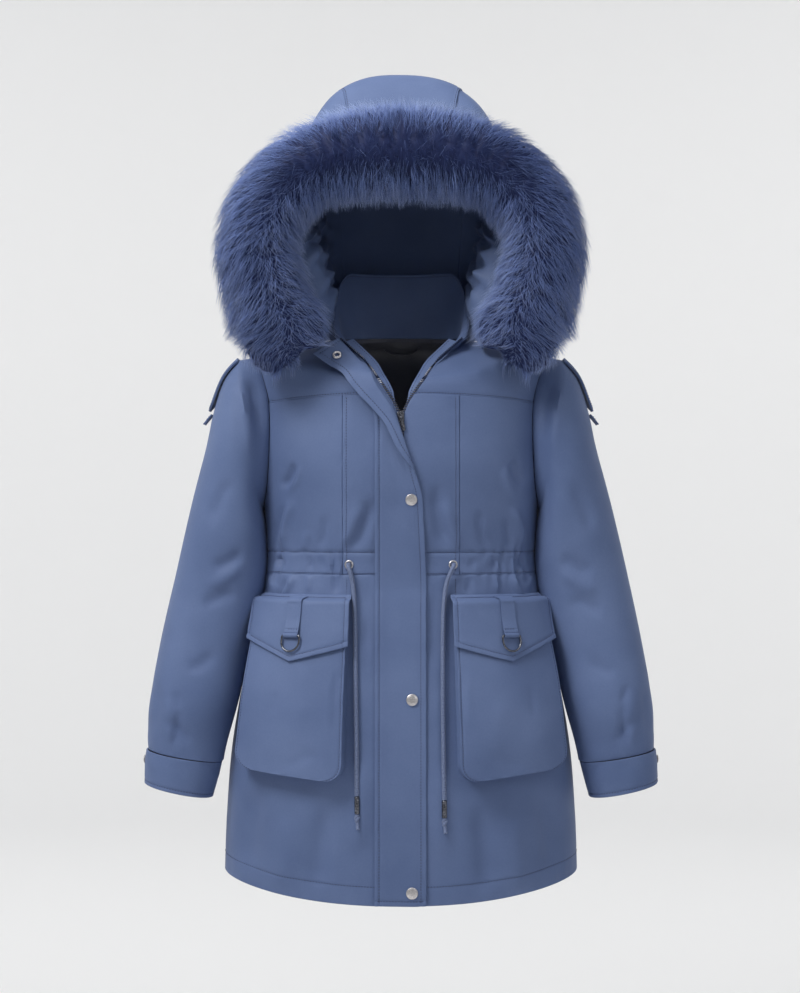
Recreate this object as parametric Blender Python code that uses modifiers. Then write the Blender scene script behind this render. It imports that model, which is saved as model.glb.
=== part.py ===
# Fur trimmed parka, filled out as it is worn: neck, hem and cuffs are open.
# Metres, +Z up. The front faces -Y and the wearer's left is +X.
# The origin is the middle of the neck base, where the wearer's shoulders carry the coat.

import math
from collections import namedtuple

import bmesh
import bpy
from mathutils import Matrix, Vector
from mathutils.bvhtree import BVHTree

# Cloth
WALL = 0.0025            # shell, filling and lining of the body together
SLEEVE_WALL = 0.0024
HOOD_WALL = 0.0030
FLAP_WALL = 0.0022
POCKET_WALL = 0.0018
LINING_WALL = 0.0012
LINING_GAP = 0.0018      # between the shell's inner face and the lining that hangs inside it
TAPE_WALL = 0.0012
SEAM_ANGLE = 0.0016      # half a seam's gap, as an angle around the body
SIDE_GAP = 0.0006        # the same at the side seam, where the body turns fastest
SEAM_STEP = 0.0035       # half a seam's gap, in rows of the body's table
ARMHOLE_ANGLE = 0.0032   # the same at the armhole, where two walls meet at a bend
TOUCH = 0.0004           # gap between pieces that rest on each other

# Body: one row for each level, hem to neck
Ring = namedtuple("Ring", "front_z side_z back_z half_width front_depth back_depth power")
BODY = [
    Ring(-0.7580, -0.7335, -0.7620, 0.2430, 0.1470, 0.1330, 2.2),   # 0 hem
    Ring(-0.6600, -0.6600, -0.6600, 0.2405, 0.1460, 0.1320, 2.2),
    Ring(-0.5600, -0.5600, -0.5600, 0.2325, 0.1420, 0.1300, 2.2),
    Ring(-0.4500, -0.4500, -0.4500, 0.2130, 0.1310, 0.1220, 2.2),
    Ring(-0.3700, -0.3700, -0.3700, 0.1955, 0.1200, 0.1120, 2.2),
    Ring(-0.3260, -0.3260, -0.3260, 0.1870, 0.1145, 0.1060, 2.2),   # 5 lower channel stitch
    Ring(-0.2965, -0.2965, -0.2965, 0.1850, 0.1135, 0.1050, 2.2),   # 6 upper channel stitch
    Ring(-0.2400, -0.2400, -0.2400, 0.1890, 0.1210, 0.1100, 2.2),
    Ring(-0.1700, -0.1700, -0.1700, 0.1930, 0.1270, 0.1150, 2.2),
    Ring(-0.0860, -0.0970, -0.1000, 0.1935, 0.1190, 0.1100, 2.2),   # 9 yoke seam
    Ring(-0.0680, -0.0300, -0.0450, 0.1950, 0.1130, 0.1000, 2.2),   # 10 shoulder point
    Ring(-0.0640, -0.0160, -0.0140, 0.1400, 0.1080, 0.0840, 2.2),
    Ring(-0.0600, -0.0040, 0.0000, 0.0850, 0.1050, 0.0620, 2.2),    # 12 neck seam
]
HEM, CHANNEL_LOW, CHANNEL_TOP, YOKE, SHOULDER, NECK = 0.0, 5.0, 6.0, 9.0, 10.0, 12.0
UNDERARM = 7.07
ARMHOLE_BITE = math.radians(24.0)   # how far the armhole cuts in from the side
SIDE = math.radians(90.0)
BACK = math.radians(180.0)
PRINCESS_X = 0.0775
GATHER_WAVES = 7         # around half the waist
GATHER_DEPTH = 0.0018

# Front opening: half the distance between the two fronts, by height
Edge = namedtuple("Edge", "z x")
FRONT_EDGE = [
    Edge(-0.7700, 0.0036), Edge(-0.1140, 0.0036), Edge(-0.0977, 0.0105),
    Edge(-0.0724, 0.0270), Edge(-0.0418, 0.0485), Edge(-0.0098, 0.0820),
]
TAPE_REACH = 0.0031      # zip tape and teeth, out from the front's edge
TAPE_SINK = 0.0006       # how far the tape's face lies behind the front's face
SLIDER_Z = -0.1080
SLIDER_SEAT = 0.0080     # from the slider's top to its middle
SLIDER_TURN = math.radians(12.0)
SLIDER_SIZE = (0.0090, 0.0026, 0.0135)
LUG_SIZE = (0.0010, 0.0040, 0.0034)
LUG_X = 0.0022
PIN_Y = -0.0057
PIN_Z = -0.0020
PIN_RADIUS = 0.0006
PIN_LENGTH = 0.0050
EYE_RADIUS = 0.0019
EYE_BORE = 0.0011
PULL_NECK = (0.0028, 0.0009, 0.0050)
PULL_BLADE = (0.0042, 0.0009, 0.0128)

# Sleeve: inner and outer side of each section, shoulder to wrist
Section = namedtuple("Section", "inner_x inner_z outer_x outer_z half_depth middle_y")
SLEEVE = [
    Section(0.1975, -0.2430, 0.2220, -0.0330, 0.0790, -0.0030),
    Section(0.1990, -0.2530, 0.2430, -0.0600, 0.0800, -0.0050),
    Section(0.1990, -0.2680, 0.2580, -0.1050, 0.0780, -0.0080),
    Section(0.1960, -0.2900, 0.2685, -0.1550, 0.0740, -0.0110),
    Section(0.1880, -0.3250, 0.2865, -0.2250, 0.0690, -0.0110),
    Section(0.1930, -0.3750, 0.3085, -0.3200, 0.0630, -0.0110),
    Section(0.2080, -0.4350, 0.3290, -0.4150, 0.0600, -0.0180),
    Section(0.2220, -0.5000, 0.3435, -0.5000, 0.0570, -0.0300),
    Section(0.2370, -0.5550, 0.3455, -0.5450, 0.0500, -0.0330),
    Section(0.2430, -0.5825, 0.3450, -0.5650, 0.0470, -0.0340),
]
CUFF = [
    Section(0.2440, -0.5833, 0.3475, -0.5658, 0.0485, -0.0340),
    Section(0.2485, -0.6010, 0.3495, -0.5820, 0.0490, -0.0345),
    Section(0.2565, -0.6310, 0.3500, -0.6110, 0.0480, -0.0350),
]
SLEEVE_POWER = 2.15
SLEEVE_CLEAR = 0.0040    # between a sleeve and the body's side

# Collar
COLLAR_TOP_HALF = 0.0940
COLLAR_TOP_FRONT = 0.1180
COLLAR_TOP_BACK = 0.0880
COLLAR_POWER = 2.4
COLLAR_CORNER = math.radians(61.0)  # where the top edge ends in front
COLLAR_CORNER_Z = -0.0100
COLLAR_BACK_Z = 0.0940
COLLAR_RISE = math.radians(75.0)

# Hanger loop inside the back of the neck
LOOP_RADIUS = 0.0012
LOOP_ROW = 11.55
LOOP_DROP = 0.55         # in rows of the body's table
LOOP_ANGLE = math.radians(12.0)
LOOP_BULGE = 0.0030
LOOP_STEPS = 8

# Fur strip on the hood's edge, lower end to crown; attach is where the hood's edge meets it
Fur = namedtuple("Fur", "x z y radial depth attach")
FUR = [
    Fur(0.1530, -0.0500, -0.1160, 0.0200, 0.0140, 165.0),
    Fur(0.1610, -0.0340, -0.1200, 0.0500, 0.0340, 165.0),
    Fur(0.1640, -0.0020, -0.1240, 0.0670, 0.0440, 155.0),
    Fur(0.1770, 0.0450, -0.1280, 0.0635, 0.0500, 140.0),
    Fur(0.1880, 0.1020, -0.1300, 0.0610, 0.0530, 125.0),
    Fur(0.1740, 0.1590, -0.1260, 0.0610, 0.0550, 115.0),
    Fur(0.1300, 0.2070, -0.1200, 0.0635, 0.0560, 105.0),
    Fur(0.0730, 0.2280, -0.1160, 0.0690, 0.0560, 97.0),
    Fur(0.0000, 0.2355, -0.1150, 0.0725, 0.0560, 95.0),
]
FUR_STATIONS = 44
FUR_SIDES = 12

# Hood: where each row leaves the fur strip, and its back point
Hood = namedtuple("Hood", "fur_row back_y back_z power")
HOOD = [
    Hood(1.80, 0.0700, 0.0020, 3.4),
    Hood(2.25, 0.1120, 0.0450, 3.2),
    Hood(2.90, 0.1400, 0.1100, 2.7),
    Hood(3.60, 0.1520, 0.1850, 2.4),
    Hood(4.30, 0.1430, 0.2620, 2.5),
    Hood(4.90, 0.1120, 0.3250, 2.6),
    Hood(5.40, 0.0620, 0.3650, 2.6),
    Hood(5.80, 0.0050, 0.3610, 2.6),
    Hood(6.10, -0.0350, 0.3150, 2.6),
]
HOOD_ARCH_ROW = 6.4      # the fur row where the hood's side edge turns into its front arch
HOOD_STRIP = 0.36        # half the centre strip, as a share of a row's half turn

# Storm flap: seam, roll and free edge of each level, top to hem; out is the roll's height
Flap = namedtuple("Flap", "seam_x seam_z fold_x fold_z edge_x edge_z out")
FLAP = [
    Flap(-0.0640, -0.0700, -0.0380, -0.0560, -0.0645, -0.0745, 0.0075),
    Flap(-0.0530, -0.0888, -0.0275, -0.0724, -0.0520, -0.0895, 0.0070),
    Flap(-0.0365, -0.1076, -0.0125, -0.0977, -0.0370, -0.1065, 0.0068),
    Flap(-0.0345, -0.1300, -0.0030, -0.1243, -0.0200, -0.1290, 0.0062),
    Flap(-0.0345, -0.1610, 0.0065, -0.1575, -0.0050, -0.1600, 0.0050),
    Flap(-0.0345, -0.1930, 0.0165, -0.1915, 0.0175, -0.1915, 0.0040),
    Flap(-0.0345, -0.2160, 0.0170, -0.2160, 0.0265, -0.2160, 0.0016),
    Flap(-0.0345, -0.2453, 0.0170, -0.2453, 0.0293, -0.2453, 0.0003),
    Flap(-0.0345, -0.2965, 0.0170, -0.2965, 0.0328, -0.2965, 0.0000),
    Flap(-0.0345, -0.3700, 0.0170, -0.3700, 0.0330, -0.3700, 0.0000),
    Flap(-0.0345, -0.4500, 0.0170, -0.4500, 0.0330, -0.4500, 0.0000),
    Flap(-0.0345, -0.5600, 0.0170, -0.5600, 0.0330, -0.5600, 0.0000),
    Flap(-0.0345, -0.6600, 0.0170, -0.6600, 0.0330, -0.6600, 0.0000),
    Flap(-0.0345, -0.7572, 0.0170, -0.7578, 0.0330, -0.7572, 0.0000),
]
FLAP_LIFT = 0.0034       # the flap's outer face over the front, above the zip
FLAP_CORNER = [          # the two levels at the collar, which stand clear of the yoke
    ((-0.0950, -0.0450, -0.0140), (-0.0832, -0.0735, -0.0095),
     (-0.0850, -0.0805, -0.0100), (-0.1172, -0.0960, -0.0320)),
    ((-0.0790, -0.0760, -0.0480), (-0.0500, -0.0965, -0.0400),
     (-0.0520, -0.1035, -0.0405), (-0.0790, -0.1090, -0.0600)),
]
FLAP_STEPS = (4, 2, 4)   # columns on the base, round the roll and on the turned part
FLAP_LEVELS = (0, 0.5, 1, 1.5, 2, 2.5, 3, 3.5, 4, 4.5, 5, 5.5, 6, 6.5, 7, 8, 9, 10.5, 11, 12, 13,
               13.5, 14, 15)
FLAP_TURNED_LIFT = 0.0098

# Snaps, sockets and eyelets
SNAP_RADIUS = 0.0078
SNAP_PLACES = ((0.0135, -0.2262), (0.0145, -0.4889), (0.0143, -0.7400))
SOCKET_RADIUS = 0.0062
EYELET_RADIUS = 0.0062
EYELET_PLACE = (0.0690, -0.3125)

# Drawstring: each end's free run, from the eyelet down over the front
CORD_RADIUS = 0.0028
Route = namedtuple("Route", "x z lift")
CORD_ROUTES = {
    -1.0: [
        Route(0.0690, -0.3125, 0.0018), Route(0.0688, -0.3140, 0.0072),
        Route(0.0655, -0.3240, 0.0078), Route(0.0630, -0.3380, 0.0052),
        Route(0.0612, -0.3600, 0.0044), Route(0.0602, -0.3900, 0.0042),
        Route(0.0594, -0.4400, 0.0042), Route(0.0586, -0.4950, 0.0042),
        Route(0.0578, -0.5500, 0.0042), Route(0.0572, -0.6140, 0.0044),
    ],
    1.0: [
        Route(0.0690, -0.3125, 0.0018), Route(0.0686, -0.3140, 0.0072),
        Route(0.0640, -0.3240, 0.0078), Route(0.0590, -0.3400, 0.0052),
        Route(0.0562, -0.3640, 0.0044), Route(0.0550, -0.3950, 0.0042),
        Route(0.0545, -0.4450, 0.0042), Route(0.0546, -0.5000, 0.0042),
        Route(0.0552, -0.5550, 0.0042), Route(0.0560, -0.6190, 0.0044),
    ],
}
CORD_POINTS = 30
BARREL_RADIUS = 0.0035
BARREL_LENGTH = 0.0230
KNOT_RADIUS = 0.0042
TAIL_LENGTH = 0.0200

# Pocket, in the wearer's left half; the right one is its mirror image
POCKET_TOP_Z = -0.3660
Corner = namedtuple("Corner", "inner_x outer_x")
POCKET_TOP = Corner(0.0685, 0.1830)
POCKET_BASE = Corner(0.0745, 0.2060)
POCKET_BASE_INNER_Z = -0.5960
POCKET_BASE_OUTER_Z = -0.5830
POCKET_ROUND = 0.16      # corner radius as a share of the width
POCKET_STAND_TOP = 0.0150
POCKET_STAND = 0.0250    # how far the bag's face stands off the front
FLAP_TOP = 1.060         # the pocket flap, in shares of the bag's height
FLAP_INNER = 0.760
FLAP_TIP = 0.655
FLAP_OUTER = 0.765
FLAP_TIP_ACROSS = 0.56
POCKET_FLAP_OVER = 0.0026
TAB_ACROSS = 0.55
TAB_HALF = 0.0107
TAB_TOP_HALF = 0.0132
TAB_WALL = 0.0012
TAB_END = 0.805
TAB_CLIMB = ((0.90, 0.0012), (0.985, 0.0012), (1.008, 0.0018), (1.025, 0.0030), (1.043, 0.0028))

# D-ring
RING_WIRE = 0.0013
RING_HALF = 0.0132       # bar's middle to the leg's middle
RING_DROP = 0.0212
RING_CORNER = 0.0030
BAR_CLEAR = 0.0007       # between the ring's bar and the tab's loop

# Shoulder strap along the sleeve: place on the sleeve, half its turn, height off the sleeve
Strap = namedtuple("Strap", "place half lift")
STRAP = [
    Strap(0.02, 0.34, 0.0042), Strap(0.50, 0.32, 0.0052), Strap(1.10, 0.30, 0.0055),
    Strap(1.60, 0.28, 0.0060), Strap(1.85, 0.22, 0.0068), Strap(2.02, 0.06, 0.0075),
]
STRAP_TAB = [
    Strap(2.08, 0.15, 0.0026), Strap(2.22, 0.15, 0.0060), Strap(2.40, 0.15, 0.0105),
]
STRAP_WALL = 0.0030
STRAP_TAB_WALL = 0.0022
CUFF_SNAP_RADIUS = 0.0055
CUFF_SNAP_HEIGHT = 0.0022
CUFF_SNAP_ROW = 0.9


def catmull(a, b, c, d, f):
    """A value on the smooth curve through b and c."""
    return 0.5 * (
        2 * b + (c - a) * f
        + (2 * a - 5 * b + 4 * c - d) * f * f
        + (3 * b - a - 3 * c + d) * f ** 3
    )


def blended(table, place):
    """The row at a fractional place in a table."""
    last = len(table) - 1
    place = min(max(place, 0.0), float(last))
    low = min(int(place), last - 1)
    rows = [table[min(max(i, 0), last)] for i in (low - 1, low, low + 1, low + 2)]
    return [catmull(a, b, c, d, place - low) for a, b, c, d in zip(*rows)]


def straight(table, place):
    """The same along straight lines between the rows."""
    last = len(table) - 1
    low = min(int(max(place, 0.0)), last - 1)
    f = place - low
    return [a + (b - a) * f for a, b in zip(table[low], table[low + 1])]


def mix(a, b, f):
    return a + (b - a) * f


def smooth(f):
    f = min(max(f, 0.0), 1.0)
    return f * f * (3 - 2 * f)


def signed_power(value, power):
    return math.copysign(abs(value) ** power, value)


def spread(count):
    """Equal shares from 0 to 1."""
    return [i / count for i in range(count + 1)]


def gather(place, angle):
    """How far the drawn waist's cloth stands in or out."""
    near = smooth((place - 3.9) / 1.2) * smooth((7.3 - place) / 1.4)
    side = smooth((abs(angle) - 0.42) / 0.30)
    wave = math.cos(2 * GATHER_WAVES * angle + 0.6 * math.sin(5 * angle))
    return GATHER_DEPTH * near * side * wave


def body_point(place, angle):
    """A point of the body's outer face; angle 0 is the front, 180 degrees the back."""
    front_z, side_z, back_z, half, front, back, power = blended(BODY, place)
    s, c = math.sin(angle), math.cos(angle)
    swell = 1.0 + gather(place, angle) / half
    x = half * signed_power(s, 2 / power) * swell
    depth, end_z = (front, front_z) if c > 0 else (back, back_z)
    y = -depth * signed_power(c, 2 / power) * swell
    return Vector((x, y, side_z + (end_z - side_z) * c * c))


def body_normal(place, angle):
    h = 0.01
    along = body_point(min(place + h, NECK), angle) - body_point(max(place - h, 0.0), angle)
    across = body_point(place, angle + h) - body_point(place, angle - h)
    return across.cross(along).normalized()


def on_body(place, angle, lift):
    return body_point(place, angle) + body_normal(place, angle) * lift


def angle_at(place, x):
    """The angle in front where the body has this x."""
    half, power = blended(BODY, place)[3], blended(BODY, place)[6]
    share = min(abs(x) / half, 1.0) ** (power / 2)
    return math.copysign(math.asin(min(share, 1.0)), x)


def front_place(x, z):
    """The row and angle of the front's point at x, z."""
    low, high = 0.0, NECK
    for _ in range(26):
        place = (low + high) / 2
        if body_point(place, angle_at(place, x)).z < z:
            low = place
        else:
            high = place
    return low, angle_at(low, x)


def on_front(x, z, lift):
    place, angle = front_place(x, z)
    return on_body(place, angle, lift)


def front_normal(x, z):
    return body_normal(*front_place(x, z))


def edge_x(z):
    """Half the front opening's width at a height."""
    for low, high in zip(FRONT_EDGE, FRONT_EDGE[1:]):
        if z <= high.z:
            return mix(low.x, high.x, max(z - low.z, 0.0) / (high.z - low.z))
    return FRONT_EDGE[-1].x


def edge_angle(place, extra=0.0):
    """The angle of the front's edge in a row."""
    angle = 0.1
    for _ in range(12):
        z = body_point(place, angle).z
        angle = angle_at(place, edge_x(z) + extra)
    return angle


def armhole_angle(place):
    """The angle of the armhole's edge in a row, measured from the front or the back."""
    middle, reach = (SHOULDER + UNDERARM) / 2, (SHOULDER - UNDERARM) / 2
    turn = math.acos(min(max((place - middle) / reach, -1.0), 1.0))
    return SIDE - ARMHOLE_BITE * math.sin(turn) ** 0.8


def armhole_point(turn, side):
    """The sleeve's first ring: turn 0 is the shoulder point, 90 degrees the front."""
    middle, reach = (SHOULDER + UNDERARM) / 2, (SHOULDER - UNDERARM) / 2
    place = middle + reach * math.cos(turn)
    bite = max(ARMHOLE_BITE * abs(math.sin(turn)) ** 0.8 - ARMHOLE_ANGLE, 0.0)
    angle = SIDE - bite if math.sin(turn) >= 0 else SIDE + bite
    point = body_point(place, angle)
    return Vector((side * point.x, point.y, point.z))


def outer_side(place):
    """Where a front panel ends: the side seam, the armhole or the shoulder seam."""
    if UNDERARM - SEAM_STEP < place < SHOULDER:
        return armhole_angle(place) - ARMHOLE_ANGLE
    return SIDE - SIDE_GAP


def body_tree():
    """The body's front above the chest, to hold other pieces off it."""
    places = [8.0 + 4.0 * i / 40 for i in range(41)]
    angles = [math.radians(-100.0 + 5.0 * i) for i in range(41)]
    points = [body_point(p, a) for p in places for a in angles]
    faces = []
    for i in range(40):
        for j in range(40):
            k = i * 41 + j
            faces.append((k, k + 1, k + 42, k + 41))
    return BVHTree.FromPolygons(points, faces)


def held_off(tree, point, lift):
    """The point, moved out where it would be nearer to the body than lift."""
    near, normal, _, _ = tree.find_nearest(point)
    if normal.y > 0 and normal.z < 0:
        normal = -normal
    height = (point - near).dot(normal)
    return point + normal * (lift - height) if height < lift else point


# Objects and materials

def linear(channel):
    return channel / 12.92 if channel <= 0.04045 else ((channel + 0.055) / 1.055) ** 2.4


def material(name, colour, roughness=0.7, metallic=0.0):
    found = bpy.data.materials.get(name)
    if found:
        return found
    made = bpy.data.materials.new(name)
    made.use_nodes = True
    shader = made.node_tree.nodes["Principled BSDF"]
    rgb = [linear(int(colour[i:i + 2], 16) / 255) for i in (1, 3, 5)]
    shader.inputs["Base Color"].default_value = (*rgb, 1.0)
    shader.inputs["Roughness"].default_value = roughness
    shader.inputs["Metallic"].default_value = metallic
    made.diffuse_color = (*rgb, 1.0)
    return made


def shell_cloth():
    return material("shell_cloth", "#5a6b8e", 0.62)


def pocket_cloth():
    return material("pocket_cloth", "#59688c", 0.62)


def lining_cloth():
    return material("lining_cloth", "#1c1e29", 0.5)


def fur():
    return material("dyed_fur", "#3a4f85", 0.85)


def cord_braid():
    return material("cord_braid", "#4e5c79", 0.8)


def snap_metal():
    return material("satin_nickel", "#b1acae", 0.35, 1.0)


def dark_metal():
    return material("gunmetal", "#5d5f66", 0.3, 1.0)


def start():
    """Empties the scene and makes the coat's collection."""
    for item in list(bpy.data.objects):
        bpy.data.objects.remove(item, do_unlink=True)
    coat = bpy.data.collections.new("parka")
    bpy.context.scene.collection.children.link(coat)
    return coat


def place_in(coat, name, data, look):
    item = bpy.data.objects.new(name, data)
    coat.objects.link(item)
    data.materials.append(look)
    return item


def sheet_mesh(name, rows, closed, inside):
    """A quad sheet through rows of points, facing away from the point inside it."""
    work = bmesh.new()
    add_grid(work, rows, closed)
    work.normal_update()
    facing_out = sum((f.normal.dot(f.calc_center_median() - inside) for f in work.faces), 0.0)
    if facing_out < 0:
        bmesh.ops.reverse_faces(work, faces=work.faces)
    return finished(work, name)


def add_grid(work, rows, closed, split=False):
    grid = [[work.verts.new(p) for p in row] for row in rows]
    wide = len(grid[0]) if closed else len(grid[0]) - 1
    for low, high in zip(grid, grid[1:]):
        for i in range(wide):
            j = (i + 1) % len(low)
            if split:
                work.faces.new((low[i], low[j], high[j]))
                work.faces.new((low[i], high[j], high[i]))
            else:
                work.faces.new((low[i], low[j], high[j], high[i]))
    return grid


def finished(work, name):
    mesh = bpy.data.meshes.new(name)
    work.to_mesh(mesh)
    work.free()
    mesh.shade_smooth()
    return mesh


def wall(coat, name, rows, thickness, look, inside=Vector((0, 0, -0.35)), closed=False):
    """A cloth wall: its outer face runs through the rows, and it is thick inward."""
    item = place_in(coat, name, sheet_mesh(name, rows, closed, inside), look)
    solid = item.modifiers.new("wall", "SOLIDIFY")
    solid.thickness = thickness
    solid.offset = -1.0
    return item


def lined(coat, name, outer, inner, look, closed=False):
    """A cloth wall between its outer and its inner rows of points."""
    work = bmesh.new()
    outer = add_grid(work, outer, closed, True)
    inner = add_grid(work, inner, closed, True)
    for low, high in ((outer[0], inner[0]), (outer[-1], inner[-1])):
        for i in range(len(low) if closed else len(low) - 1):
            j = (i + 1) % len(low)
            work.faces.new((low[i], low[j], high[j], high[i]))
    if not closed:
        for i in range(len(outer) - 1):
            for end in (0, -1):
                work.faces.new((outer[i][end], outer[i + 1][end],
                                inner[i + 1][end], inner[i][end]))
    bmesh.ops.recalc_face_normals(work, faces=work.faces)
    if work.calc_volume(signed=True) < 0:
        bmesh.ops.reverse_faces(work, faces=work.faces)
    return place_in(coat, name, finished(work, name), look)


def normal_at(point_at, u, v, us, vs):
    """The surface's normal where it is a function of two numbers."""
    h = 0.004
    u_low, u_high = max(u - h, us[0]), min(u + h, us[-1])
    v_low, v_high = (v - h, v + h) if vs[-1] > 6.0 else (max(v - h, vs[0]), min(v + h, vs[-1]))
    along = point_at(u_high, v) - point_at(u_low, v)
    across = point_at(u, v_high) - point_at(u, v_low)
    return along.cross(across).normalized()


def shell(coat, name, point_at, us, vs, thickness, look, inside, side=1.0, steady=0.0):
    """A cloth wall whose outer face is a function of two numbers, thick inward."""
    calm = [min(max(u, us[0] + steady), us[-1] - steady) for u in us]
    u, v = us[len(us) // 2], vs[len(vs) // 2]
    out = normal_at(point_at, u, v, us, vs).dot(point_at(u, v) - inside)
    depth = math.copysign(thickness, out)
    outer = [[point_at(u, v) for v in vs] for u in us]
    inner = []
    for u, row in zip(calm, outer):
        inner.append([p - normal_at(point_at, u, v, us, vs) * depth for v, p in zip(vs, row)])
    outer = [mirrored(row, side) for row in outer]
    inner = [mirrored(row, side) for row in inner]
    return lined(coat, name, outer, inner, look)


def panel(coat, name, side, places, first, last, count):
    """A piece of the body between two edges, each an angle for every row."""
    outer, inner = [], []
    for place in places:
        angles = [mix(first(place), last(place), f) for f in spread(count)]
        outer.append(mirrored([on_body(place, a, 0.0) for a in angles], side))
        inner.append(mirrored([on_body(place, a, -WALL) for a in angles], side))
    return lined(coat, name, outer, inner, shell_cloth())


def mirrored(points, side):
    return [Vector((side * p.x, p.y, p.z)) for p in points]


def suffix(side):
    return "_l" if side > 0 else "_r"


# Body

def rows_between(low, high, middle):
    """Row places from one seam to the next, pulled back from both."""
    return [low + SEAM_STEP] + list(middle) + [high - SEAM_STEP]


ARM_ROWS = (5.5, 6.0, 6.5, UNDERARM, 7.182, 7.499, 7.974, 8.535)
YOKE_ROWS = (9.096, 9.571, 9.888, SHOULDER, 10.5, 11.3)
SKIRT_ROWS = (1.0, 2.0, 3.0, 3.5, 4.0, 4.5)


def front_panels(coat):
    def princess(gap):
        return lambda place: angle_at(place, PRINCESS_X) + gap

    arm = rows_between(CHANNEL_LOW, YOKE, ARM_ROWS)
    yoke = rows_between(YOKE, NECK, YOKE_ROWS)
    skirt = [HEM] + rows_between(HEM, CHANNEL_LOW, SKIRT_ROWS)[1:]
    for side in (-1.0, 1.0):
        tail = suffix(side)
        panel(coat, "front_centre" + tail, side, arm, edge_angle, princess(-SEAM_ANGLE), 3)
        panel(coat, "front_side" + tail, side, arm, princess(SEAM_ANGLE), outer_side, 10)
        panel(coat, "yoke_front" + tail, side, yoke, edge_angle, outer_side, 7)
        panel(coat, "skirt_front" + tail, side, skirt, edge_angle, outer_side, 13)


def back_panels(coat):
    def left(place):
        return BACK - (BACK - SIDE) * (outer_side(place) / SIDE)

    def right(place):
        return 2 * BACK - left(place)

    arm = rows_between(CHANNEL_LOW, YOKE, ARM_ROWS)
    yoke = rows_between(YOKE, NECK, YOKE_ROWS)
    skirt = [HEM] + rows_between(HEM, CHANNEL_LOW, SKIRT_ROWS)[1:]
    panel(coat, "back", 1.0, arm, left, right, 16)
    panel(coat, "back_yoke", 1.0, yoke, left, right, 12)
    panel(coat, "skirt_back", 1.0, skirt, left, right, 20)


def level_of(z):
    """The row whose side lies at a height."""
    low, high = 0.0, YOKE
    for _ in range(24):
        middle = (low + high) / 2
        if blended(BODY, middle)[1] < z:
            low = middle
        else:
            high = middle
    return low


def clear_of_body(point, gap):
    """Moves a sleeve's point out to the body's side where it would lie inside."""
    if point.z > -0.19:
        return point
    row = blended(BODY, level_of(point.z))
    half, power = row[3] + gap, row[6]
    depth = (row[4] if point.y < 0 else row[5]) + gap
    level = (abs(point.x) / half) ** power + (abs(point.y) / depth) ** power
    if level >= 1:
        return point
    grow = level ** (-1 / power)
    return Vector((point.x * grow, point.y * grow, point.z))


def round_sleeve(section, turn):
    """A point of a sleeve section: turn 0 is the outer side, 90 degrees the front."""
    inner_x, inner_z, outer_x, outer_z, depth, middle_y = section
    middle = Vector(((inner_x + outer_x) / 2, middle_y, (inner_z + outer_z) / 2))
    out = Vector(((outer_x - inner_x) / 2, 0.0, (outer_z - inner_z) / 2))
    across = signed_power(math.cos(turn), 2 / SLEEVE_POWER)
    ahead = signed_power(math.sin(turn), 2 / SLEEVE_POWER)
    return middle + out * across + Vector((0, -depth * ahead, 0))


def sleeve_point(place, turn):
    """A point of the sleeve; places below 0 run from the armhole to the first section."""
    point = round_sleeve(blended(SLEEVE, max(place, 0.0)), turn)
    point = clear_of_body(point, SLEEVE_CLEAR)
    return armhole_point(turn, 1.0).lerp(point, place + 1) if place < 0 else point


def sleeves(coat):
    around = [2 * math.pi * i / 16 for i in range(16)]
    turns = around + [2 * math.pi]
    places = (-1.0, 0.0, 0.5, 1.0, 2.0, 3.0, 4.0, 5.0, 6.0, 7.0, 8.0, 9.0)
    inside = Vector((0.25, -0.02, -0.30))

    def cuff_point(place, turn):
        return round_sleeve(straight(CUFF, place), turn)

    for side in (-1.0, 1.0):
        tube_wall(coat, "sleeve" + suffix(side), sleeve_point, places, turns, inside, side)
        inside = Vector((0.297, -0.034, -0.59))
        tube_wall(coat, "cuff" + suffix(side), cuff_point, (0.0, 1.0, 2.0), turns, inside, side)
        inside = Vector((0.25, -0.02, -0.30))


def tube_wall(coat, name, point_at, places, turns, inside, side):
    """A wall round a limb; the last turn closes on the first."""
    outer, inner = [], []
    u, v = places[len(places) // 2], turns[len(turns) // 2]
    out = normal_at(point_at, u, v, places, turns).dot(point_at(u, v) - inside)
    depth = math.copysign(SLEEVE_WALL, out)
    for place in places:
        row = [point_at(place, t) for t in turns[:-1]]
        back = [normal_at(point_at, place, t, places, turns) * depth for t in turns[:-1]]
        outer.append(mirrored(row, side))
        inner.append(mirrored([p - b for p, b in zip(row, back)], side))
    return lined(coat, name, outer, inner, shell_cloth(), True)


# Collar, hood and fur

def collar_edges(share):
    """Bottom and top point of the collar; share 0 is its front edge, 1 the back."""
    start_angle = edge_angle(NECK, 0.0012)
    low = body_point(NECK, mix(start_angle, BACK, share))
    angle = mix(COLLAR_CORNER, BACK, share)
    c, s = math.cos(angle), math.sin(angle)
    depth = COLLAR_TOP_FRONT if c > 0 else COLLAR_TOP_BACK
    x = COLLAR_TOP_HALF * signed_power(s, 2 / COLLAR_POWER)
    y = -depth * signed_power(c, 2 / COLLAR_POWER)
    rise = smooth((angle - COLLAR_CORNER) / COLLAR_RISE)
    z = mix(COLLAR_CORNER_Z, COLLAR_BACK_Z, rise)
    return Vector((low.x * 0.985, low.y * 0.985, low.z + 0.0012)), Vector((x, y, z))


def collar_point(up, share):
    """A point of the collar; share runs from its left front edge to 2 at the right one."""
    low, high = collar_edges(min(share, 2 - share))
    point = low.lerp(high, up)
    return point if share <= 1 else Vector((-point.x, point.y, point.z))


def collar(coat):
    front = [0.0, 0.04, 0.11, 0.20, 0.31, 0.44, 0.58, 0.72, 0.86]
    shares = front + [1.0] + [2 - f for f in reversed(front)]
    shell(coat, "collar", collar_point, (0.0, 0.33, 0.67, 1.0), shares, WALL, shell_cloth(),
          Vector((0, 0, 0.04)))


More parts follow.
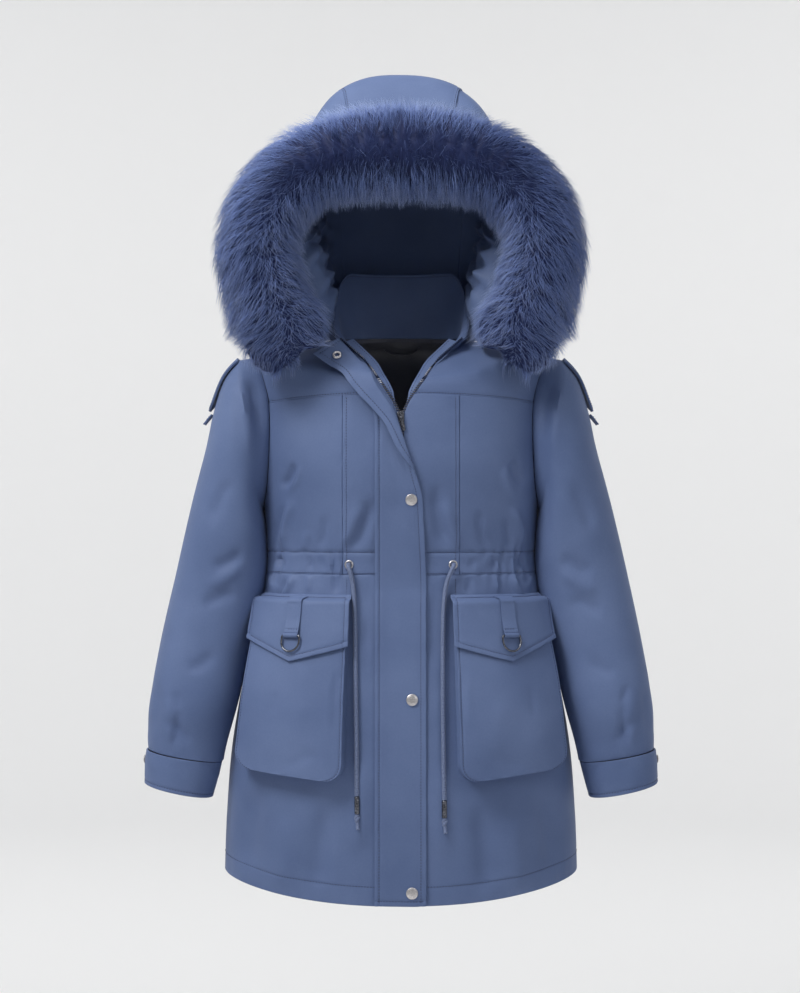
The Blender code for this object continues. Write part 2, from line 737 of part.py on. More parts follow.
def fur_frame(row):
    """Middle, outward direction and sizes of the fur strip at a row, wearer's left."""
    x, z, y, radial, depth, attach = blended(FUR, row)
    before, after = blended(FUR, row - 0.1), blended(FUR, row + 0.1)
    run = Vector((after[0] - before[0], 0, after[1] - before[1]))
    if row > 7.9:
        run = Vector((-1, 0, 0))
    out = Vector((run.z, 0, -run.x)).normalized()
    return Vector((x, y, z)), out, radial, depth, math.radians(attach)


def fur_point(row, turn, grow=0.0):
    """A point of the strip's face; turn 0 is the outer side, 90 degrees the back."""
    middle, out, radial, depth, _ = fur_frame(row)
    return (middle + out * (radial + grow) * math.cos(turn)
            + Vector((0, (depth + grow) * math.sin(turn), 0)))


def fur_trim(coat):
    last = len(FUR) - 1
    half = [last * i / (FUR_STATIONS // 2) for i in range(FUR_STATIONS // 2 + 1)]
    half = [0.0, 0.35] + half[2:]
    rows = []
    for row in half:
        attach = fur_frame(row)[4]
        turns = [attach + 2 * math.pi * i / FUR_SIDES for i in range(FUR_SIDES)]
        rows.append([fur_point(row, turn) for turn in turns])
    other = [[Vector((-p.x, p.y, p.z)) for p in ring] for ring in reversed(rows[:-1])]
    mesh = sheet_mesh("fur_trim", rows + other, True, Vector((0, -0.12, 0.08)))
    work = bmesh.new()
    work.from_mesh(mesh)
    bmesh.ops.holes_fill(work, edges=[e for e in work.edges if e.is_boundary])
    bmesh.ops.recalc_face_normals(work, faces=work.faces)
    work.to_mesh(mesh)
    work.free()
    place_in(coat, "fur_trim", mesh, fur())


def rim_point(row):
    """The hood's edge, just behind the fur strip."""
    attach = fur_frame(row)[4]
    return fur_point(row, attach, mix(0.0010, 0.0024, smooth((row - 5.2) / 0.8)))


def shoulder_z(x, y):
    """Height of the yokes' face over a point near the neck."""
    low, high = SHOULDER, NECK
    for _ in range(24):
        place = (low + high) / 2
        row = blended(BODY, place)
        depth = row[4] if y < 0 else row[5]
        level = (abs(x) / row[3]) ** row[6] + (abs(y) / depth) ** row[6]
        if level < 1:
            low = place
        else:
            high = place
    row = blended(BODY, low)
    end_z = row[0] if y < 0 else row[2]
    side_share = min(abs(x) / row[3], 1.0) ** row[6]
    return mix(end_z, row[1], side_share)


def hood_point(place, turn):
    """A point of the hood: place counts its rows, turn runs from -90 to 90 degrees."""
    last = len(HOOD) - 1
    arch = rim_arch(turn)
    if place >= last + 1:
        return arch
    fur_row, back_y, back_z, power = blended(HOOD, min(place, last))
    rim = rim_point(fur_row)
    front = Vector((0, rim.y, rim.z))
    back = Vector((0, back_y, back_z))
    ahead = abs(math.cos(turn)) ** (2 / power)
    across = signed_power(math.sin(turn), 2 / power)
    point = front + (back - front) * ahead + Vector((rim.x * across, 0, 0))
    if place < 1:
        foot = max(shoulder_z(point.x * f, point.y * f) for f in (1.0, 0.96, 0.92)) + 0.0042
        lifted = mix(foot, rim.z, smooth((-0.055 - point.y) / 0.050))
        point.z = mix(lifted, point.z, smooth(place))
    if place > last:
        point = point.lerp(arch, place - last)
    return point


def rim_arch(turn):
    """The hood's front edge between its two side edges."""
    last = len(FUR) - 1
    share = abs(turn) / SIDE
    point = rim_point(mix(last, HOOD_ARCH_ROW, share))
    return Vector((math.copysign(point.x, turn), point.y, point.z))


def hood(coat):
    last = len(HOOD)
    places = [0, 0.5, 1, 1.5, 2, 2.5, 3, 3.5, 4, 4.5, 5, 5.5, 6, 6.5, 7, 7.5, 8, 8.5, last]
    inside = Vector((0, -0.02, 0.13))
    seam = HOOD_STRIP * SIDE
    gap = 0.0040
    strip = [mix(-seam + gap, seam - gap, f) for f in spread(6)]
    shell(coat, "hood_centre", hood_point, places, strip, HOOD_WALL, shell_cloth(), inside,
          steady=0.4)
    turns = [mix(seam + gap, SIDE, f) for f in (0, 0.17, 0.34, 0.51, 0.68, 0.85, 0.96, 1)]
    for side in (-1.0, 1.0):
        shell(coat, "hood_side" + suffix(side), hood_point, places, turns, HOOD_WALL,
              shell_cloth(), inside, side=side, steady=0.4)


def neck_lining(coat):
    """The lining that shows below the collar, on the inside of the back."""
    places = (8.0, 8.8, 9.6, 10.0, 10.5, 11.2, 11.75)
    outer, inner = [], []
    for place in places:
        angles = [mix(math.radians(136), math.radians(224), f) for f in spread(8)]
        outer.append([on_body(place, a, -WALL - LINING_GAP) for a in angles])
        inner.append([on_body(place, a, -WALL - LINING_GAP - LINING_WALL) for a in angles])
    lined(coat, "lining_back", outer, inner, lining_cloth())
    route = []
    for i in range(LOOP_STEPS + 1):
        share = i / LOOP_STEPS
        hang = math.sin(math.pi * share)
        off = WALL + LINING_GAP + LINING_WALL + LOOP_RADIUS + TOUCH + LOOP_BULGE * hang
        angle = mix(BACK - LOOP_ANGLE, BACK + LOOP_ANGLE, share)
        route.append(on_body(LOOP_ROW - LOOP_DROP * hang, angle, -off))
    tube(coat, "hanger_loop", route, LOOP_RADIUS, lining_cloth())


# Curves

def tube(coat, name, points, radius, look, cyclic=False, resolution=2):
    data = bpy.data.curves.new(name, "CURVE")
    data.dimensions = "3D"
    data.bevel_depth = radius
    data.bevel_resolution = resolution
    data.use_fill_caps = True
    spline = data.splines.new("POLY")
    spline.points.add(len(points) - 1)
    for point, place in zip(spline.points, points):
        point.co = (*place, 1.0)
    spline.use_cyclic_u = cyclic
    return place_in(coat, name, data, look)


def resampled(points, count):
    """Points along the smooth curve through a route's points, closest where it starts."""
    fine = []
    for i in range(20 * (len(points) - 1) + 1):
        fine.append(Vector(blended([tuple(p) for p in points], i / 20)))
    lengths = [0.0]
    for a, b in zip(fine, fine[1:]):
        lengths.append(lengths[-1] + (b - a).length)
    out = []
    j = 0
    near = [0.0, 0.0024, 0.0048, 0.0072, 0.0100, 0.0135]
    rest = count - len(near)
    far = [mix(near[-1], lengths[-1], (i + 1) / rest) for i in range(rest)]
    for target in near + far:
        while j < len(lengths) - 2 and lengths[j + 1] < target:
            j += 1
        f = (target - lengths[j]) / max(lengths[j + 1] - lengths[j], 1e-9)
        out.append(fine[j].lerp(fine[j + 1], min(f, 1.0)))
    return out


# Fastenings

def turned(coat, name, profile, look, point, normal, steps=18):
    """A round piece turned from a profile of (radius, height), standing on a surface."""
    mesh = bpy.data.meshes.new(name)
    closed = profile[0][0] > 1e-6
    area = sum(a[0] * b[1] - b[0] * a[1] for a, b in zip(profile, profile[1:] + profile[:1]))
    if area > 0:
        profile = profile[::-1]
    vertices = [(radius, 0.0, height) for radius, height in profile]
    edges = [(i, i + 1) for i in range(len(profile) - 1)]
    if closed:
        edges.append((len(profile) - 1, 0))
    mesh.from_pydata(vertices, edges, [])
    item = place_in(coat, name, mesh, look)
    screw = item.modifiers.new("turn", "SCREW")
    screw.steps = steps
    screw.render_steps = steps
    screw.use_merge_vertices = True
    screw.merge_threshold = 0.00005
    item.matrix_world = facing(point, normal)
    return item


def facing(point, normal):
    """A frame at a point whose +Z is the surface's normal."""
    return Matrix.Translation(point) @ normal.to_track_quat("Z", "X").to_matrix().to_4x4()


def dome(radius, height):
    return [(0.0, height), (radius * 0.45, height * 0.95), (radius * 0.8, height * 0.72),
            (radius, height * 0.30), (radius, 0.0), (0.0, 0.0)]


def washer(outer, inner, height):
    return [(inner, height * 0.5), (mix(inner, outer, 0.5), height),
            (outer, height * 0.4), (outer, 0.0), (inner, 0.0)]


def flap_guides(level):
    """Seam, roll, roll and free edge of the storm flap at a level."""
    if level < 2.0:
        corner = [sum((tuple(p) for p in guides), ()) for guides in FLAP_CORNER]
        below = [sum((tuple(p) for p in flap_guides(row)), ()) for row in (2.0, 3.0)]
        values = blended(corner + below, level)
        return [Vector(values[i:i + 3]) for i in (0, 3, 6, 9)]
    row = Flap(*blended(FLAP, level - 2.0))
    fold = on_front(row.fold_x, row.fold_z, FLAP_LIFT)
    seam = on_front(row.seam_x, row.seam_z, FLAP_LIFT)
    edge = on_front(row.edge_x, row.edge_z, FLAP_LIFT + 1.25 * max(row.out, 0.0))
    over = fold + front_normal(row.fold_x, row.fold_z) * max(row.out, 0.0)
    flat = smooth((row.edge_x - row.fold_x) / 0.010 + 0.4)
    return [seam, fold, over.lerp(fold.lerp(edge, 0.12), flat), edge]


def flap_row(level, tree):
    """Points across the flap, rounded at the roll and clear of the body."""
    guides = flap_guides(level)
    row = []
    for (a, b), steps in zip(zip(guides, guides[1:]), FLAP_STEPS):
        row += [a.lerp(b, i / steps) for i in range(steps)]
    row.append(guides[-1])
    for _ in range(2):
        inner = [(p + q * 2 + r) / 4 for p, q, r in zip(row, row[1:], row[2:])]
        row = [row[0]] + inner + [row[-1]]
    for i, point in enumerate(row):
        turned_part = smooth((i / (len(row) - 1) - 0.42) / 0.16) * smooth(5.2 - level)
        if level < 6.0:
            base = FLAP_LIFT + 0.0008 * smooth(5.0 - level)
            row[i] = held_off(tree, point, mix(base, FLAP_TURNED_LIFT, turned_part))
    return row


def storm_flap(coat, tree):
    rows = [flap_row(level, tree) for level in FLAP_LEVELS]
    wall(coat, "storm_flap", rows, FLAP_WALL, shell_cloth())


def on_flap(x, z, tree):
    """The flap's outer face near x, z on its flat part, and the normal there."""
    low, high = 5.0, 15.0
    for _ in range(20):
        level = (low + high) / 2
        if flap_row(level, tree)[4].z > z:
            low = level
        else:
            high = level
    row, below = flap_row(low, tree), flap_row(low + 0.05, tree)
    for i in range(len(row) - 1):
        if row[i].x <= x <= row[i + 1].x:
            f = (x - row[i].x) / (row[i + 1].x - row[i].x)
            normal = (row[i + 1] - row[i]).cross(row[i] - below[i]).normalized()
            return row[i].lerp(row[i + 1], f), -normal if normal.y > 0 else normal
    return row[-1], Vector((0, -1, 0))


def front_zip(coat):
    """Both zip tapes, from the hem to the collar's top corner."""
    places = (0.0, 1, 2, 3, 4, 5, 6, 7, 8, 8.6, 8.8, 9.0, 9.5, 10, 10.6, 11.2, 11.8, 12.0)
    low, high = collar_edges(0.0)
    climb = (high - low).normalized()
    ahead = low - collar_edges(0.02)[0]
    ahead = (ahead - climb * ahead.dot(climb)).normalized()
    out = climb.cross(ahead).normalized()
    out = -out if out.y > 0 else out
    for side in (-1.0, 1.0):
        outer, inner = [], []
        for place in places:
            gap = mix(TOUCH, 3 * TOUCH, smooth((place - 11) / 0.8))
            angles = [edge_angle(place, -reach) for reach in (TAPE_REACH + gap - TOUCH, gap)]
            outer.append(mirrored([on_body(place, a, -TAPE_SINK) for a in angles], side))
            back = [on_body(place, a, -TAPE_SINK - TAPE_WALL) for a in angles]
            inner.append(mirrored(back, side))
        for up in (0.12, 0.40, 0.70, 0.98):
            edge = low.lerp(high, up)
            row = [edge + ahead * reach - out * TAPE_SINK
                   for reach in (TAPE_REACH + TOUCH, 2 * TOUCH)]
            outer.append(mirrored(row, side))
            inner.append(mirrored([p - out * TAPE_WALL for p in row], side))
        lined(coat, "zip_tape" + suffix(side), outer, inner, material("zip_tape", "#2a3450"))


def union_of(base, parts):
    """Joins closed shapes into one body and removes the pieces that were joined."""
    for part in parts:
        cut = base.modifiers.new("join", "BOOLEAN")
        cut.operation = "UNION"
        cut.solver = "EXACT"
        cut.object = part
    graph = bpy.context.evaluated_depsgraph_get()
    graph.update()
    mesh = bpy.data.meshes.new_from_object(base.evaluated_get(graph))
    base.modifiers.clear()
    base.data = mesh
    for part in parts:
        bpy.data.objects.remove(part, do_unlink=True)


def box(coat, name, size, centre, look, bevel=0.0):
    work = bmesh.new()
    bmesh.ops.create_cube(work, size=1.0)
    bmesh.ops.scale(work, vec=size, verts=work.verts)
    bmesh.ops.translate(work, vec=centre, verts=work.verts)
    mesh = bpy.data.meshes.new(name)
    work.to_mesh(mesh)
    work.free()
    item = place_in(coat, name, mesh, look)
    if bevel:
        round_off = item.modifiers.new("round", "BEVEL")
        round_off.width = bevel
        round_off.segments = 1
    return item


def rod(coat, name, radius, length, centre, look, sides=12):
    """A closed cylinder along X."""
    work = bmesh.new()
    bmesh.ops.create_cone(work, cap_ends=True, segments=sides, radius1=radius,
                          radius2=radius, depth=length)
    bmesh.ops.rotate(work, verts=work.verts, matrix=Matrix.Rotation(math.pi / 2, 3, "Y"))
    bmesh.ops.translate(work, vec=centre, verts=work.verts)
    mesh = bpy.data.meshes.new(name)
    work.to_mesh(mesh)
    work.free()
    return place_in(coat, name, mesh, look)


def zip_slider(coat):
    """The slider with its cross pin, and the pull that swings on that pin."""
    seat = on_front(0.0, SLIDER_Z - SLIDER_SEAT, 0.0)
    frame = Matrix.Translation(seat) @ Matrix.Rotation(-SLIDER_TURN, 4, "Y")
    metal = dark_metal()
    body = box(coat, "zip_slider", SLIDER_SIZE, (0.0, -0.0021, 0.0), metal, 0.0006)
    lugs = []
    for side in (-1.0, 1.0):
        lugs.append(box(coat, "lug", LUG_SIZE, (side * LUG_X, PIN_Y + 0.0010, PIN_Z), metal))
    pin = rod(coat, "pin", PIN_RADIUS, PIN_LENGTH, (0.0, PIN_Y, PIN_Z), metal)
    union_of(body, lugs + [pin])
    body.matrix_world = frame

    hinge = bpy.data.objects.new("zip_pull_hinge", None)
    coat.objects.link(hinge)
    hinge.matrix_world = frame @ Matrix.Translation((0.0, PIN_Y, PIN_Z))
    profile = [(EYE_BORE, 0.0011), (EYE_RADIUS, 0.0011), (EYE_RADIUS, -0.0011), (EYE_BORE, -0.0011)]
    eye = turned(coat, "eye", profile, metal, Vector((0, 0, 0)), Vector((1, 0, 0)), 14)
    graph = bpy.context.evaluated_depsgraph_get()
    graph.update()
    mesh = bpy.data.meshes.new_from_object(eye.evaluated_get(graph))
    mesh.transform(eye.matrix_world)
    bpy.data.objects.remove(eye, do_unlink=True)
    pull = place_in(coat, "zip_pull", mesh, metal)
    neck = box(coat, "neck", PULL_NECK, (0.0, -0.0002, -0.0040), metal)
    blade = box(coat, "blade", PULL_BLADE, (0.0, -0.0002, -0.0113), metal)
    union_of(pull, [neck, blade])
    pull.parent = hinge


def snaps(coat, tree):
    """Three caps on the flap, and the socket on its turned corner."""
    for number, (x, z) in enumerate(SNAP_PLACES, 1):
        point, normal = on_flap(x, z, tree)
        turned(coat, f"snap_{number}", dome(SNAP_RADIUS, 0.0026), snap_metal(),
               point + normal * TOUCH, normal, 14)
    near, far = flap_row(0.25, tree), flap_row(0.75, tree)
    a, b, c, d = near[7], near[9], far[7], far[9]
    normal = (b - a).cross(c - a).normalized()
    if normal.y > 0:
        normal = -normal
    point = (a + b + c + d) / 4 + normal * (FLAP_WALL + 0.0010)
    turned(coat, "snap_socket", washer(SOCKET_RADIUS, 0.0028, 0.0020), snap_metal(),
           point, normal, 14)


def drawstring(coat):
    """Eyelets, the free ends of the cord, their barrels and their knots."""
    for side in (-1.0, 1.0):
        tail = suffix(side)
        x, z = EYELET_PLACE
        point = on_front(side * x, z, TOUCH)
        turned(coat, "eyelet" + tail, washer(EYELET_RADIUS, 0.0034, 0.0018), snap_metal(),
               point, front_normal(side * x, z), 14)
        route = [on_front(side * r.x, r.z, r.lift) for r in CORD_ROUTES[side]]
        points = resampled(route, CORD_POINTS)
        tube(coat, "cord" + tail, points, CORD_RADIUS, cord_braid())
        down = (points[-1] - points[-2]).normalized()
        barrel = points[-1] + down * 0.0003
        profile = [(0.0, 0.0), (BARREL_RADIUS * 0.8, 0.0), (BARREL_RADIUS, 0.0010),
                   (BARREL_RADIUS, BARREL_LENGTH - 0.0010),
                   (BARREL_RADIUS * 0.8, BARREL_LENGTH), (0.0, BARREL_LENGTH)]
        turned(coat, "cord_barrel" + tail, profile, dark_metal(), barrel, down, 12)
        knot = barrel + down * (BARREL_LENGTH + 0.0003)
        ball = KNOT_RADIUS
        profile = [(0.0, 0.0), (ball * 0.7, ball * 0.3), (ball, ball), (ball * 0.75, ball * 1.6),
                   (ball * 0.45, ball * 2.1), (ball * 0.75, TAIL_LENGTH), (0.0, TAIL_LENGTH)]
        turned(coat, "cord_knot" + tail, profile, cord_braid(), knot, down, 10)


# Pockets

def bag_point(across, up, stand):
    """A point over the wearer's left front in the pocket's own shares of width and height."""
    base_z = mix(POCKET_BASE_INNER_Z, POCKET_BASE_OUTER_Z, across)
    z = mix(base_z, POCKET_TOP_Z, up)
    inner = mix(POCKET_BASE.inner_x, POCKET_TOP.inner_x, up)
    outer = mix(POCKET_BASE.outer_x, POCKET_TOP.outer_x, up)
    return on_front(mix(inner, outer, across), z, stand)


def bag_stand(up):
    """How far the bag's face stands off at a share of its height."""
    return mix(POCKET_STAND, POCKET_STAND_TOP, smooth((up - 0.35) / 0.65))


def corner_inset(up):
    """How far the rounded lower corners pull the bag's side in."""
    if up >= POCKET_ROUND * 0.6:
        return 0.0
    share = 1 - up / (POCKET_ROUND * 0.6)
    return POCKET_ROUND * (1 - math.sqrt(max(1 - share * share, 0.0)))


def bag_outline():
    """The U of the bag's sides and base, from the inner top round to the outer top."""
    arc = [0.0, 0.012, 0.035, 0.062, 0.096]
    left = [(corner_inset(up), up) for up in arc]
    rise = [(0.0, up) for up in (0.28, 0.52, 0.76, 1.0)]
    base = [(mix(POCKET_ROUND, 1 - POCKET_ROUND, i / 5), 0.0) for i in range(1, 5)]
    inner = [(a, b) for a, b in reversed(left + rise)]
    outer = [(1 - a, b) for a, b in left + rise]
    return inner + base + outer


def pocket_bag(coat, side):
    outer, inner = [], []
    for up in (0.0, 0.012, 0.035, 0.062, 0.096, 0.28, 0.52, 0.76, 1.0):
        inset = corner_inset(up)
        shares = [mix(inset, 1 - inset, f) for f in spread(6)]
        stand = bag_stand(up)
        outer.append(mirrored([bag_point(f, up, stand) for f in shares], side))
        inner.append(mirrored([bag_point(f, up, stand - POCKET_WALL) for f in shares], side))
    lined(coat, "pocket_bag" + suffix(side), outer, inner, pocket_cloth())


def pocket_gusset(coat, side):
    """The strip between the bag's face and the front, with one shallow pleat."""
    outline = bag_outline()
    outer, inner = [], []
    for share in (0.0, 0.5, 1.0):
        row, back = [], []
        for across, up in outline:
            high = bag_stand(up) - POCKET_WALL - 0.0007
            lift = mix(0.0011, high, share)
            fold = 0.0030 * math.sin(math.pi * share)
            row.append(drawn_in(across, up, lift, fold))
            back.append(drawn_in(across, up, lift, fold + POCKET_WALL))
        outer.append(mirrored(row, side))
        inner.append(mirrored(back, side))
    lined(coat, "pocket_gusset" + suffix(side), outer, inner, pocket_cloth())


def drawn_in(across, up, lift, distance):
    """A point of the bag's outline moved towards the bag's middle line."""
    point = bag_point(across, up, lift)
    middle = bag_point(0.5, min(max(up, 0.12), 1.0), lift)
    toward = middle - point
    return point + toward.normalized() * distance


def flap_stand(up):
    """The pocket flap's outer face: sewn down at its top, over the bag below it."""
    over = bag_stand(min(up, 1.0)) + POCKET_FLAP_OVER + FLAP_WALL
    return mix(over, FLAP_WALL + 0.0011, smooth((up - 1.006) / 0.054))


FLAP_ROWS_UP = (1.008, 1.025, 1.043, FLAP_TOP)


def flap_line(number):
    """Places across a row of the pocket flap; the first three rows follow its free edge."""
    row = []
    for f in (0.0, 0.14, 0.28, 0.42, FLAP_TIP_ACROSS, 0.67, 0.78, 0.89, 1.0):
        if f <= FLAP_TIP_ACROSS:
            free = mix(FLAP_INNER, FLAP_TIP, f / FLAP_TIP_ACROSS)
        else:
            free = mix(FLAP_TIP, FLAP_OUTER, (f - FLAP_TIP_ACROSS) / (1 - FLAP_TIP_ACROSS))
        up = mix(free, 0.985, number / 2) if number < 3 else FLAP_ROWS_UP[number - 3]
        row.append((mix(-0.03, 1.02, f), up))
    return row


def pocket_flap(coat, side):
    outer, inner = [], []
    for number in range(3 + len(FLAP_ROWS_UP)):
        row = flap_line(number)
        outer.append(mirrored([bag_point(a, u, flap_stand(u)) for a, u in row], side))
        inner.append(mirrored([bag_point(a, u, flap_stand(u) - FLAP_WALL) for a, u in row], side))
    lined(coat, "pocket_flap" + suffix(side), outer, inner, pocket_cloth())


def pockets(coat):
    for side in (-1.0, 1.0):
        pocket_bag(coat, side)
        pocket_gusset(coat, side)
        pocket_flap(coat, side)
        tab_and_ring(coat, side)


def tab_and_ring(coat, side):
    """The short tab on the pocket flap, looped round the bar of its D-ring."""
    tail = suffix(side)
    bore = RING_WIRE + BAR_CLEAR
    centre = bag_point(TAB_ACROSS, TAB_END, flap_stand(TAB_END) + TOUCH + TAB_WALL + bore)
    outward = (bag_point(TAB_ACROSS, TAB_END, 0.02) - bag_point(TAB_ACROSS, TAB_END, 0.0))
    outward.normalize()
    below = bag_point(TAB_ACROSS, FLAP_TIP + 0.02, flap_stand(FLAP_TIP + 0.02))
    rise = (bag_point(TAB_ACROSS, TAB_END, flap_stand(TAB_END)) - below).normalized()
    outward = (outward - rise * outward.dot(rise)).normalized()
    across = rise.cross(outward).normalized()
    if across.x < 0:
        across = -across

    section = []
    outer = bore + TAB_WALL
    for i in range(11):
        turn = math.radians(mix(-118.0, 150.0, i / 10))
        section.append(centre + outward * outer * math.cos(turn) - rise * outer * math.sin(turn))
    lead = centre + outward * (outer * 0.42) + rise * (outer * 1.35)
    section[0] = lead
    climb = []
    for up, gap in TAB_CLIMB:
        climb.append(bag_point(TAB_ACROSS, up, flap_stand(up) + gap + TAB_WALL))
    section = list(reversed(climb)) + section
    rows = []
    for share in (-1.0, -0.9, 0.9, 1.0):
        row = []
        for number, point in enumerate(section):
            half = TAB_TOP_HALF if number == 0 else TAB_HALF
            row.append(point + across * half * share)
        rows.append(mirrored(row, side))
    inside = centre + rise * 0.004
    inside.x *= side
    wall(coat, "pocket_tab" + tail, rows, TAB_WALL, pocket_cloth(), inside)

    hinge = bpy.data.objects.new("d_ring_hinge" + tail, None)
    coat.objects.link(hinge)
    turn = Matrix((across, -outward, rise)).transposed()
    frame = Matrix.Translation(centre) @ turn.to_4x4()
    if side < 0:
        flip = Matrix.Diagonal((-1.0, 1.0, 1.0, 1.0))
        frame = flip @ frame @ flip
    hinge.matrix_world = frame
    path = []
    for i in range(5):
        turn = math.radians(90 * i / 4)
        along = -RING_HALF + RING_CORNER * (1 - math.sin(turn))
        path.append((along, 0.0, -RING_CORNER * (1 - math.cos(turn))))
    path = list(reversed(path))
    arc = []
    for i in range(1, 14):
        turn = math.pi * i / 14
        arc.append((-RING_HALF * math.cos(turn), 0.0,
                    -(RING_DROP - RING_HALF) - RING_HALF * math.sin(turn)))
    left = [(-x, y, z) for x, y, z in path]
    ring = list(reversed(path)) + arc + left
    item = tube(coat, "d_ring" + tail, ring, RING_WIRE, dark_metal(), cyclic=True)
    item.parent = hinge


# Sleeve trim

def strap_point(place, turn, side, lift):
    """A point over the outer face of a sleeve."""
    inner_x, inner_z, outer_x, outer_z, depth, middle_y = blended(SLEEVE, place)
    middle = Vector(((inner_x + outer_x) / 2, middle_y, (inner_z + outer_z) / 2))
    out = Vector(((outer_x - inner_x) / 2, 0.0, (outer_z - inner_z) / 2))
    across = math.cos(turn) ** (2 / SLEEVE_POWER)
    ahead = signed_power(math.sin(turn), 2 / SLEEVE_POWER)
    point = middle + out * across + Vector((0, -depth * ahead, 0))
    after = blended(SLEEVE, place + 0.1)
    away = Vector((outer_z - after[3], 0, after[2] - outer_x)).normalized()
    point = point + away * lift
    return Vector((side * point.x, point.y, point.z))


def strap_rows(table, shares, side):
    rows = []
    for place, half, lift in table:
        rows.append([strap_point(place, mix(-half, half, f), side, lift) for f in shares])
    return rows


def sleeve_straps(coat):
    for side in (-1.0, 1.0):
        tail = suffix(side)
        inside = Vector((side * 0.2, -0.02, -0.15))
        rows = strap_rows(STRAP, (0, 0.2, 0.5, 0.8, 1), side)
        wall(coat, "sleeve_strap" + tail, rows, STRAP_WALL, shell_cloth(), inside)
        rows = strap_rows(STRAP_TAB, (0, 0.5, 1), side)
        wall(coat, "strap_tab" + tail, rows, STRAP_TAB_WALL, shell_cloth(), inside)
        point = round_sleeve(straight(CUFF, CUFF_SNAP_ROW), 0.0) + Vector((TOUCH, 0, 0))
        normal = Vector((side, 0, 0.02)).normalized()
        point.x *= side
        cap = dome(CUFF_SNAP_RADIUS, CUFF_SNAP_HEIGHT)
        turned(coat, "cuff_snap" + tail, cap, snap_metal(), point, normal, 14)


def main():
    coat = start()
    front_panels(coat)
    back_panels(coat)
    sleeves(coat)
    collar(coat)
    fur_trim(coat)
    hood(coat)
    neck_lining(coat)
    front_zip(coat)
    zip_slider(coat)
    tree = body_tree()
    storm_flap(coat, tree)
    snaps(coat, tree)
    pockets(coat)
    drawstring(coat)
    sleeve_straps(coat)


main()
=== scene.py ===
import math

import bpy
import numpy as np
from mathutils import Matrix, Vector
from mathutils.bvhtree import BVHTree


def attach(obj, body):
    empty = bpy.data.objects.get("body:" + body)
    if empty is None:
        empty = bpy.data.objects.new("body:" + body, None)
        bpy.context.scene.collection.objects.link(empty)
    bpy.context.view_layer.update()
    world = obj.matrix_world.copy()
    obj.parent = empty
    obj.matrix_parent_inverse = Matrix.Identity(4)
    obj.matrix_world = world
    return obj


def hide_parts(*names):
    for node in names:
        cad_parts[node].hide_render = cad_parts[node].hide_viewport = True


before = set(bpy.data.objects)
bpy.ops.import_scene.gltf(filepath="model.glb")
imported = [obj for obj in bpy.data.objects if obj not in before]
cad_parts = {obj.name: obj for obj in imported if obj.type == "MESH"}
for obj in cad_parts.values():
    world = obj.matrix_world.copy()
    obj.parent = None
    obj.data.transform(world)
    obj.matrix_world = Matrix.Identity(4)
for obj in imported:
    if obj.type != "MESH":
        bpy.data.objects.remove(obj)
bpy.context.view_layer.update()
print("frame loaded:", len(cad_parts), "nodes")

sides = (("_r", -1.0), ("_l", 1.0))


def mix(a, b, f):
    return a + (b - a) * f


def smooth(f):
    f = np.clip(f, 0.0, 1.0)
    return f * f * (3 - 2 * f)


def bump(distance, width):  # 1 on the line, gone two widths away
    return np.exp(-(distance / width) ** 2)


def signedPower(value, power):
    return np.sign(value) * np.abs(value) ** power


def unit(v):
    return v / np.maximum(np.linalg.norm(v, axis=-1, keepdims=True), 1e-12)


def vec(x, y, z):
    return np.stack(np.broadcast_arrays(x, y, z), -1)


def curve(a, b, c, d, f):  # smoothly from b to c, with a before them and d after
    return 0.5 * (2 * b + (c - a) * f + (2 * a - 5 * b + 4 * c - d) * f ** 2
                  + (3 * b - a - 3 * c + d) * f ** 3)


def paired(a, b):  # both as arrays of one shape
    return np.broadcast_arrays(np.asarray(a, float), np.asarray(b, float))


def turnsOf(count):  # angles spaced evenly round a circle
    return np.linspace(0, 2 * np.pi, count + 1)[:-1]


def within(share, start, end):  # 1 along the middle, falling to 0 at both ends
    return smooth(share / start) * smooth((1 - share) / end)


def row(table, place):  # the smooth curve through a table's rows
    table = np.asarray(table, float)
    last = len(table) - 1
    place = np.clip(np.asarray(place, float), 0.0, last)
    low = np.minimum(place.astype(int), last - 1)
    near = [table[np.clip(low + k, 0, last)] for k in (-1, 0, 1, 2)]
    return curve(*near, (place - low)[..., None])


def straightRow(table, place):
    table = np.asarray(table, float)
    place = np.asarray(place, float)
    low = np.clip(place.astype(int), 0, len(table) - 2)
    return mix(table[low], table[low + 1], (place - low)[..., None])


def ripple(t, seed):  # uneven waves along a seam, about -1 to 1
    return (0.42 * np.sin(t / 0.0034 + seed * 1.7) + 0.36 * np.sin(t / 0.0053 + seed * 2.9)
            + 0.3 * np.sin(t / 0.0092 + seed * 0.6))


def pleats(t, seed):  # small gathers of uneven width, about -1 to 1
    wave = np.sin(t / 0.0025 + 1.9 * np.sin(t / 0.017 + seed))
    wave = wave + 0.8 * np.sin(t / 0.0039 + 2.3 * np.sin(t / 0.026 + 2 * seed))
    return wave * (0.55 + 0.45 * np.sin(t / 0.023 + 3 * seed)) / 1.8


def swell(a, b, seed):  # broad, slow unevenness over a panel, about -1 to 1
    return (np.sin(a * 1.0 + 0.7 * np.sin(b * 0.8 + seed) + seed * 1.3)
            + 0.7 * np.sin(a * 1.9 - b * 0.9 + seed * 2.1)
            + 0.5 * np.sin(a * 0.7 + b * 1.7 + seed * 0.4)) / 2.2


